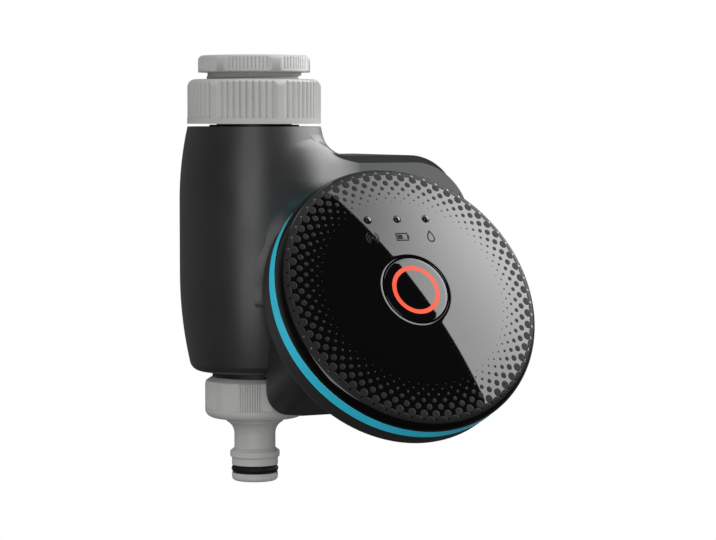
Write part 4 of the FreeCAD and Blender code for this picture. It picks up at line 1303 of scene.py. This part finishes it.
@dataclass(frozen=True)
class SaddleShape:
    """Skin that joins the barrel to the head's shoulder in one sweep, in millimetres.

    The sweep fades out over the ranges left to right, fade_back to fade_front and fade_top to
    fade_foot. Below lean_from its left end moves right by lean for each millimetre.
    """

    barrel_radius: float = 25.85
    neck_radius: float = 23.05
    barrel_top: float = -24.4
    swell_height: float = 25.6
    block_top: float = -34.4
    wall: float = -19.9
    crease: float = -37.0
    tilt: float = math.radians(22.3)
    sweep: float = 12.6
    least_sweep: float = 0.2
    left: float = -14.0
    right: float = 14.0
    lean_from: float = -43.0
    lean: float = 1.4
    least_fade: float = 1.0
    fade_back: float = -10.0
    fade_front: float = -20.0
    fade_top: float = -24.2
    fade_foot: float = -32.0
    sink: float = 0.02
    edge_sweep: float = 7.0
    edge_reach: float = 16.0
    least_edge: float = 0.01
    look: Pair = (math.radians(35.0), math.radians(30.0))
    middle: Point = (18.0, -20.0, -40.0)
    away: float = 60.0
    span: float = 60.0
    steps: int = 90
    overlap: float = 0.8
    tries: int = 80
    stride: float = 0.8
    near: float = 0.001

    def barrel_gap(self, place: Vector) -> float:
        """Distance from the barrel's skin.

        Args:
            place: A point.

        Returns:
            The distance, below zero inside.
        """
        narrow = self.barrel_radius - self.neck_radius
        arc = (self.swell_height ** 2 / narrow + narrow) / 2
        rise = min(max(place.z - self.barrel_top + self.swell_height, 0.0), self.swell_height)
        radius = self.barrel_radius - arc + math.sqrt(arc ** 2 - rise ** 2)
        return max(math.hypot(place.x, place.y) - radius, place.z - self.barrel_top)

    def block_gap(self, place: Vector) -> float:
        """Distance from the sloping shoulder, whose upper edge is rounder near the barrel.

        Args:
            place: A point.

        Returns:
            The distance, below zero inside.
        """
        slope = (math.sin(self.tilt) * (place.z - self.crease)
                 - math.cos(self.tilt) * (place.y - self.wall))
        top = place.z - self.block_top
        nearness = 1.0 - self.eased(self.barrel_gap(place) / self.edge_reach)
        soft = self.edge_sweep * nearness + self.least_edge
        overlap = max(soft - abs(slope - top), 0.0)
        return max(slope, top) + overlap * overlap / soft / 4

    @staticmethod
    def eased(share: float) -> float:
        """Share between 0 and 1 that starts and ends gently."""
        share = min(max(share, 0.0), 1.0)
        return share * share * (3 - 2 * share)

    def gap(self, place: Vector) -> Pair:
        """Distance from the joined skin.

        Args:
            place: A point.

        Returns:
            The distance, and how far the point is inside the sweep.
        """
        left = self.left + max(self.lean_from - place.z, 0.0) * self.lean
        aside = self.eased((place.x - left) / max(self.right - left, self.least_fade))
        below = self.eased((place.z - self.fade_top) / (self.fade_foot - self.fade_top))
        before = self.eased((self.fade_back - place.y) / (self.fade_back - self.fade_front))
        sweep = self.sweep * aside * below * before
        first, second = self.barrel_gap(place), self.block_gap(place)
        inside = sweep - abs(first - second) if sweep > self.least_sweep else -1.0
        filled = inside * inside / sweep / 4 if inside > 0 else 0.0
        return min(first, second) - filled + self.sink, inside

    def meet(self, start: Vector, direction: Vector) -> tuple[Vector, float]:
        """First point of a line on the joined skin.

        Args:
            start: Start of the line, outside.
            direction: Its direction.

        Returns:
            The point, and how far it is inside the sweep.
        """
        place = start.copy()
        inside = -1.0
        for _ in range(self.tries):
            distance, inside = self.gap(place)
            if distance < self.near:
                break
            place += direction * distance * self.stride
        return place, inside


@dataclass
class HousingShells(Assembly):
    """Front and rear shells with their screws."""

    nodes: dict[str, Finish] = field(default_factory=lambda: {
        "front_housing": FINISH.housing,
        "rear_housing": FINISH.housing,
        "housing_screws": FINISH.steel,
        "water_body": FINISH.body,
    })
    screw_places: tuple[Pair, ...] = ((56.0, -45.0), (62.0, -117.0), (-17.5, -40.0), (-17.5, -98.0))
    screw_face: float = 12.6
    recess: CrossRecess = CrossRecess()
    saddle: SaddleShape = SaddleShape()
    saddle_wall: float = 0.7 * MM
    saddle_smooth: float = 60.0

    def build(self) -> None:
        """Builds the swept skin beside the barrel and the screws."""
        self.build_saddle()
        self.build_screws()

    def build_saddle(self) -> None:
        """Lays a grid of points on the sweep between barrel and shoulder and gives it a wall."""
        shape = self.saddle
        turn, rise = shape.look
        across = Vector((math.cos(turn), math.sin(turn), 0.0))
        flat = math.cos(rise)
        direction = Vector((-math.sin(turn) * flat, math.cos(turn) * flat, -math.sin(rise)))
        up = across.cross(direction)
        Bench.clear()
        bpy.ops.mesh.primitive_grid_add(x_subdivisions=shape.steps, y_subdivisions=shape.steps,
                                        size=shape.span)
        skin = bpy.context.object
        skin.name = "saddle_skin"
        with Bench.editing(None):
            bpy.ops.mesh.select_mode(type="VERT")
            bpy.ops.mesh.select_all(action="DESELECT")
        middle = Vector(shape.middle)
        for vertex in skin.data.vertices:
            start = middle + across * vertex.co.x + up * vertex.co.y - direction * shape.away
            place, inside = shape.meet(start, direction)
            vertex.co = place * MM
            vertex.select = inside < -shape.overlap
        with Bench.editing(None):
            bpy.ops.mesh.delete(type="VERT")
        Bench.modify(skin, "SOLIDIFY", thickness=self.saddle_wall, offset=-1.0)
        Bench.settle(skin, self.saddle_smooth)
        Bench.finish(skin, Body.HOUSING, FINISH.housing)

    def build_screws(self) -> None:
        """Builds the housing's screws with a cross in each head."""
        screws = Bench.copy_node("housing_screws", "crossed_housing_screws")
        for across, up in self.screw_places:
            self.recess.cut(screws, (across * MM, self.screw_face * MM, up * MM))
        Bench.settle(screws)
        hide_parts("housing_screws")
        Bench.finish(screws, Body.HOUSING, FINISH.steel)


@dataclass
class ControlHead(Assembly):
    """Round control head with its face, button, lamps and board.

    The sizes of plate and button are in millimetres, and those with MM in metres.
    """

    nodes: dict[str, Finish] = field(default_factory=lambda: {
        "trim_ring": FINISH.ring,
        "face_plate": FINISH.face,
        "start_button": FINISH.face,
        "button_light_ring": FINISH.glow,
        "light_pipes": FINISH.lens,
        "circuit_board": FINISH.board,
        "board_screws": FINISH.steel,
        "indicator_lights": FINISH.lamp,
        "start_switch": FINISH.inner,
        "switch_pin": FINISH.inner,
        "radio_module": FINISH.steel,
    })
    dome: DomeShape = DomeShape()
    plate_foot: float = 0.5
    plate_shoulder: float = 44.3
    plate_inner: float = 45.9
    plate_wall: float = 2.0
    hole_radius: float = 12.2
    guide_wall: float = 1.6
    guide_foot: float = 1.0
    button_radius: float = 11.8
    button_wall: float = 1.8
    button_skirt: float = 6.4
    glow_inner: float = 7.2
    glow_outer: float = 8.75
    glow_depth: float = 1.2
    stem_radius: float = 1.7
    stem_foot: float = -1.0
    soft_edge: float = 0.35
    lamp_hole: float = 1.5
    lamp_hole_level: float = 5 * MM
    lamp_hole_length: float = 20 * MM
    lens_radius: float = 1.15 * MM
    lens_rise: float = 0.55 * MM
    lens_pitch: float = 11.1 * MM
    lens_up: float = 26.6 * MM
    lens_level: float = 6.45 * MM

    def build(self) -> None:
        """Builds the polished face, the button and the lamps' lenses."""
        self.build_plate()
        self.build_button()
        self.build_lenses()

    def build_plate(self) -> None:
        """Turns the face plate with its rounded rim, and cuts the lamps' holes."""
        dome = self.dome
        rim = dome.radius
        hole = self.hole_radius
        lip = hole + self.soft_edge
        guide = hole + self.guide_wall
        shoulder = (self.plate_shoulder, dome.height(self.plate_shoulder))
        foot = (rim, self.plate_foot)
        profile = dome.run(lip, self.plate_shoulder, steps=24)
        profile += dome.corner(shoulder, foot, (rim, dome.height(rim)), 14)
        profile += [foot, (rim, 0.0), (self.plate_inner, 0.0)]
        profile += dome.run(self.plate_inner, guide, self.plate_wall, 12)
        profile += [(guide, self.guide_foot), (hole, self.guide_foot)]
        low = (hole, dome.height(hole) - self.soft_edge)
        profile += [low] + dome.corner(low, (lip, dome.height(lip)), (hole, dome.height(hole)), 5)
        plate = Bench.lathe("polished_face_plate", profile)
        Bench.settle(plate)
        for index in (-1, 0, 1):
            Bench.clear()
            offset = Vector((index * self.lens_pitch, self.lens_up, self.lamp_hole_level))
            bpy.ops.mesh.primitive_cylinder_add(
                vertices=48, radius=self.lamp_hole * MM, depth=self.lamp_hole_length,
                location=HEAD_CENTRE + HEAD_TURN @ offset, rotation=HEAD_TURN.to_euler())
            tool = bpy.context.object
            Bench.settle(tool)
            Bench.cut(plate, tool)
        Bench.settle(plate)
        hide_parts("face_plate")
        Bench.finish(plate, Body.HOUSING, FINISH.face)

    def build_button(self) -> None:
        """Turns the button with its groove, skirt and stem."""
        dome = self.dome
        side = self.button_radius
        lip = side - self.soft_edge
        skirt = dome.height(side) - self.button_skirt
        room = side - self.button_wall
        edge = (side, dome.height(side) - self.soft_edge)
        profile = dome.run(0.0, self.glow_inner, steps=6)
        profile += dome.run(self.glow_inner, self.glow_outer, self.glow_depth, 2)
        profile += dome.run(self.glow_outer, lip, steps=3)
        profile += dome.corner((lip, dome.height(lip)), edge, (side, dome.height(side)), 5)
        profile += [edge, (side, skirt), (room, skirt)]
        profile += dome.run(room, self.stem_radius, self.button_wall, 6)
        profile += [(self.stem_radius, self.stem_foot), (0.0, self.stem_foot)]
        button = Bench.lathe("polished_start_button", profile)
        Bench.settle(button)
        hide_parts("start_button")
        Bench.finish(button, Body.START_BUTTON, FINISH.face)

    def build_lenses(self) -> None:
        """Builds the small domed lenses on the ends of the light pipes."""
        Bench.clear()
        bpy.ops.mesh.primitive_uv_sphere_add(segments=32, ring_count=16, radius=self.lens_radius,
                                             location=(0, 0, 0))
        first = bpy.context.object
        bpy.ops.object.mode_set(mode="EDIT")
        bpy.ops.mesh.select_all(action="SELECT")
        bpy.ops.mesh.bisect(plane_co=(0, 0, 0), plane_no=(0, 0, 1), use_fill=True, clear_inner=True)
        bpy.ops.mesh.select_all(action="SELECT")
        bpy.ops.transform.resize(value=(1.0, 1.0, self.lens_rise / self.lens_radius))
        bpy.ops.object.mode_set(mode="OBJECT")
        for index in range(3):
            lens = first if index == 2 else first.copy()
            if index < 2:
                lens.data = first.data.copy()
                bpy.context.scene.collection.objects.link(lens)
            lens.name = "lamp_lens_" + str(index + 1)
            place = HEAD_TURN @ Vector(((index - 1) * self.lens_pitch, self.lens_up, self.lens_level))
            lens.matrix_world = Matrix.Translation(HEAD_CENTRE + place) @ HEAD_TURN
            Bench.settle(lens)
            Bench.finish(lens, Body.HOUSING, FINISH.lens)


@dataclass
class WaterValve(Assembly):
    """Diaphragm valve with its latching solenoid."""

    nodes: dict[str, Finish] = field(default_factory=lambda: {
        "diaphragm": FINISH.rubber,
        "diaphragm_plate": FINISH.inner,
        "diaphragm_spring": FINISH.steel,
        "valve_bonnet": FINISH.body,
        "bonnet_screws": FINISH.steel,
        "solenoid_coil": FINISH.copper,
        "coil_yoke": FINISH.steel,
        "plunger": FINISH.steel,
        "plunger_spring": FINISH.steel,
        "latch_magnet": FINISH.magnet,
    })
    axis: Pair = (36.0 * MM, -12.0 * MM)
    plunger_coil: CoilSpring = CoilSpring(2.2 * MM, 4.5)
    plate_coil: CoilSpring = CoilSpring(5.8 * MM, 2.5)

    def build(self) -> None:
        """Builds the two coil springs at one fixed length on the housing; the real springs shorten as the
        valve opens.
        """
        low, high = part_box("plunger_spring")
        coil = self.plunger_coil.build("wound_plunger_spring", self.axis, low[2], high[2])
        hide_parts("plunger_spring")
        Bench.finish(coil, Body.HOUSING, FINISH.steel)
        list(self.axis)
        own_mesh(coil)
        low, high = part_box("diaphragm_spring")
        coil = self.plate_coil.build("wound_diaphragm_spring", self.axis, low[2], high[2])
        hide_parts("diaphragm_spring")
        Bench.finish(coil, Body.HOUSING, FINISH.steel)
        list(self.axis)
        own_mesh(coil)


@dataclass
class BatteryPack(Assembly):
    """Tray, cells, contacts and the cover with its seal and screw."""

    nodes: dict[str, Finish] = field(default_factory=lambda: {
        "battery_tray": FINISH.inner,
        "batteries": FINISH.cell,
        "battery_contacts": FINISH.contact,
        "battery_cover": FINISH.housing,
        "battery_cover_seal": FINISH.rubber,
        "battery_cover_screw": FINISH.steel,
    })
    screw_place: Point = (44.0 * MM, 24.6 * MM, -110.8 * MM)
    recess: CrossRecess = CrossRecess()

    def build(self) -> None:
        """Builds the cover's screw with a cross in its head."""
        screw = Bench.copy_node("battery_cover_screw", "crossed_cover_screw")
        self.recess.cut(screw, self.screw_place)
        Bench.settle(screw)
        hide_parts("battery_cover_screw")
        Bench.finish(screw, Body.BATTERY_COVER, FINISH.steel)


@dataclass
class HoseOutlet(Assembly):
    """Connector with its nipple below the barrel."""

    nodes: dict[str, Finish] = field(default_factory=lambda: {
        "outlet_connector": FINISH.fitting,
        "outlet_washer": FINISH.rubber,
        "nipple_o_ring": FINISH.rubber,
    })


@dataclass
class Studio:
    """Pale floor and background, soft panels and dark cards."""

    floor_level: float = -0.55
    floor_radius: float = 1.5
    floor_middle: float = 0.02
    floor_fade: Pair = (0.35, 0.98)
    floor_tones: Pair = (0.84, 0.88)
    floor_speckle: float = 60.0
    floor_roughness: float = 0.9
    fill: Pair = (0.25, 1.05)
    fill_range: Pair = (-0.8, 0.8)
    panel_reach: float = 1.25
    panel_from: float = 42.0
    panel_to: float = 88.0
    rear_panel_to: float = 126.0
    panel_low: float = 0.22
    panel_high: float = 2.9
    panel_strength: Pair = (2.95, 4.7)
    panel_rise: Pair = (-0.5, 0.1)
    panel_fall: Pair = (-0.22, 0.15)
    panel_fade: float = 0.5
    strip_size: Pair = (0.75, 1.5)
    strip_strength: float = 1.45
    strip_turn: float = -31.0
    strip_reach: float = 1.3
    strip_level: float = -0.02
    card_radius: float = 2.1
    card_height: float = 5.0
    card_sink: float = 0.02
    card_levels: Pair = (0.012, 0.14)
    card_rise: Pair = (-0.2, 1.6)

    def build(self) -> None:
        """Builds the studio."""
        self.world()
        self.floor()
        rear_strength = (self.panel_strength[1], self.panel_strength[1])
        self.side_panel("studio_side_panel", self.panel_from, self.panel_to, self.panel_strength)
        self.side_panel("studio_rear_panel", self.panel_to, self.rear_panel_to, rear_strength)
        self.front_strip()
        self.cards()

    def world(self) -> None:
        """White where the camera, a reflection or clear stuff sees it, and a soft fill elsewhere."""
        world = bpy.data.worlds.new("studio_world")
        bpy.context.scene.world = world
        world.use_nodes = True
        graph = Graph(world.node_tree)
        background = next(n for n in world.node_tree.nodes if n.type == "BACKGROUND")
        path = graph.add("ShaderNodeLightPath")
        camera, glossy, clear = (Signal(graph, path.outputs[label]) for label in
                                 ("Is Camera Ray", "Is Glossy Ray", "Is Transmission Ray"))
        background.inputs["Color"].default_value = (1.0, 1.0, 1.0, 1.0)
        _, _, height = graph.split(graph.fed("ShaderNodeTexCoord", {}, "Generated"))
        fill = height.ramp(*self.fill_range, *self.fill)
        graph.put(background.inputs["Strength"], camera.most(glossy.most(clear)).between(fill, 1.0))

    def floor(self) -> None:
        """Round pale floor well below the hanging controller, fading into the white around it."""
        Bench.clear()
        bpy.ops.mesh.primitive_circle_add(vertices=96, radius=self.floor_radius, fill_type="NGON",
                                          location=(self.floor_middle, 0.0, self.floor_level))
        floor = bpy.context.object
        floor.name = "studio_floor"
        material, graph, shader = plain_material("studio_floor")
        output = next(n for n in material.node_tree.nodes if n.type == "OUTPUT_MATERIAL")
        place = graph.place()
        length = graph.fed("ShaderNodeVectorMath", {0: place}, "Value", operation="LENGTH")
        start, end = (share * self.floor_radius for share in self.floor_fade)
        dark, pale = ((tone, tone, tone, 1.0) for tone in self.floor_tones)
        speckle = graph.noise(place, self.floor_speckle)
        graph.put(shader.inputs["Base Color"], graph.mixed(speckle, dark, pale))
        graph.put(shader.inputs["Roughness"], self.floor_roughness)
        graph.put(shader.inputs["Specular IOR Level"], 0.0)
        clear = graph.fed("ShaderNodeBsdfTransparent", {})
        faded = {0: length.ramp(start, end), 1: Signal(graph, shader.outputs[0]), 2: clear}
        graph.put(output.inputs["Surface"], graph.fed("ShaderNodeMixShader", faded))
        floor.data.materials.append(material)
        floor.visible_diffuse = False
        floor.visible_glossy = False
        floor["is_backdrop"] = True

    @staticmethod
    def shine(piece: bpy.types.Object, label: str, strength: Callable[[Signal, Signal], Signal]) -> None:
        """Gives a piece of the studio a material that only shines, unseen by the camera.

        Args:
            piece: The piece.
            label: Label of the emission node.
            strength: Gives the strength from the piece's first two coordinates.
        """
        material = bpy.data.materials.new(piece.name)
        material.use_nodes = True
        material.node_tree.nodes.clear()
        graph = Graph(material.node_tree)
        output = graph.add("ShaderNodeOutputMaterial")
        first, second, _ = graph.split(graph.place())
        lit = graph.fed("ShaderNodeEmission", {"Strength": strength(first, second)}, label=label)
        graph.put(output.inputs["Surface"], lit)
        piece.data.materials.append(material)
        piece.visible_camera = False

    def side_panel(self, name: str, start: float, end: float, strength: Pair) -> None:
        """Large soft panel beside the controller.

        Args:
            name: The panel's name.
            start: Where it starts, in degrees from the front towards the right.
            end: Where it ends.
            strength: Strength at its start and past its middle.
        """
        ends = []
        for angle in (math.radians(start), math.radians(end)):
            across, before = self.panel_reach * math.sin(angle), self.panel_reach * math.cos(angle)
            ends.append(Vector((HEAD_CENTRE.x + across, HEAD_CENTRE.y - before, 0.0)))
        along = ends[1] - ends[0]
        level = Vector((0, 0, (self.panel_low + self.panel_high) / 2 + HEAD_CENTRE.z))
        Bench.clear()
        bpy.ops.mesh.primitive_plane_add(size=1.0, location=(ends[0] + ends[1]) / 2 + level,
                                         rotation=(math.pi / 2, 0.0, math.atan2(along.y, along.x)))
        panel = bpy.context.object
        panel.name = name
        panel.scale = (along.length, self.panel_high - self.panel_low, 1.0)
        self.shine(panel, "soft panel", lambda across, up: (
            across.ramp(*self.panel_rise, *strength) * up.ramp(*self.panel_fall, 1.0, self.panel_fade)))
        panel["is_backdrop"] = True

    def front_strip(self) -> None:
        """Upright soft strip beside the camera that draws the highlight down the barrel."""
        light = bpy.data.lights.new("studio_front_strip", "AREA")
        light.shape = "RECTANGLE"
        light.size, light.size_y = self.strip_size
        light.energy = math.pi * light.size * light.size_y * self.strip_strength
        strip = bpy.data.objects.new("studio_front_strip", light)
        angle = math.radians(self.strip_turn)
        strip.location = (self.strip_reach * math.sin(angle), -self.strip_reach * math.cos(angle),
                          self.strip_level)
        strip.rotation_euler = (math.pi / 2, 0.0, angle)
        bpy.context.scene.collection.objects.link(strip)

    def cards(self) -> None:
        """Ring of dark cards that only reflections see, so that dark gloss stays dark."""
        Bench.clear()
        foot = self.floor_level - self.card_sink
        bpy.ops.mesh.primitive_cylinder_add(
            vertices=64, radius=self.card_radius, depth=self.card_height, end_fill_type="NGON",
            location=(0.0, 0.0, foot + self.card_height / 2))
        cards = bpy.context.object
        cards.name = "studio_cards"
        with Bench.editing():
            bpy.ops.mesh.select_mode(type="FACE")
            bpy.ops.mesh.select_all(action="DESELECT")
        for face in cards.data.polygons:
            face.select = face.normal.z > 0.5
        with Bench.editing(None):
            bpy.ops.mesh.delete(type="ONLY_FACE")
        self.shine(cards, "dark card", lambda across, along: along.ramp(*self.card_rise, *self.card_levels))
        cards.visible_diffuse = False
        cards.visible_transmission = False
        cards.visible_shadow = False
        cards.visible_volume_scatter = False
        cards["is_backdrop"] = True


@dataclass(frozen=True)
class Viewpoint:
    """Camera at the photograph's place."""

    place: Point = (-0.38360, -0.81053, -0.02043)
    turn: float = -27.62
    pitch: float = -3.43
    lens: float = 130.16
    sensor: float = 36.0

    def build(self) -> None:
        """Adds the camera and makes it the scene's."""
        data = bpy.data.cameras.new("photo_camera")
        data.lens = self.lens
        data.sensor_width = self.sensor
        camera = bpy.data.objects.new("photo_camera", data)
        camera.location = self.place
        camera.rotation_euler = (math.radians(90 + self.pitch), 0.0, math.radians(self.turn))
        bpy.context.scene.collection.objects.link(camera)
        bpy.context.scene.camera = camera
        bpy.context.scene.view_settings.view_transform = "Standard"


def corners(bounds: object) -> list[list[float]]:
    """Two corners as plain lists of numbers."""
    return [[float(value) for value in corner] for corner in bounds]


def main() -> None:
    """Builds the controller in order."""
    logging.basicConfig(level=logging.INFO, format="%(message)s")
    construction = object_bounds()
    Viewpoint().build()
    Studio().build()
    assemblies = (TapConnection(), HousingShells(), ControlHead(), WaterValve(), BatteryPack(), HoseOutlet())
    for assembly in assemblies:
        assembly.dress()
        assembly.build()
        LOG.info("%s is done", type(assembly).__name__)
    {"construction": corners(construction), "visual": corners(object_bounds())}


if __name__ == "__main__":
    main()
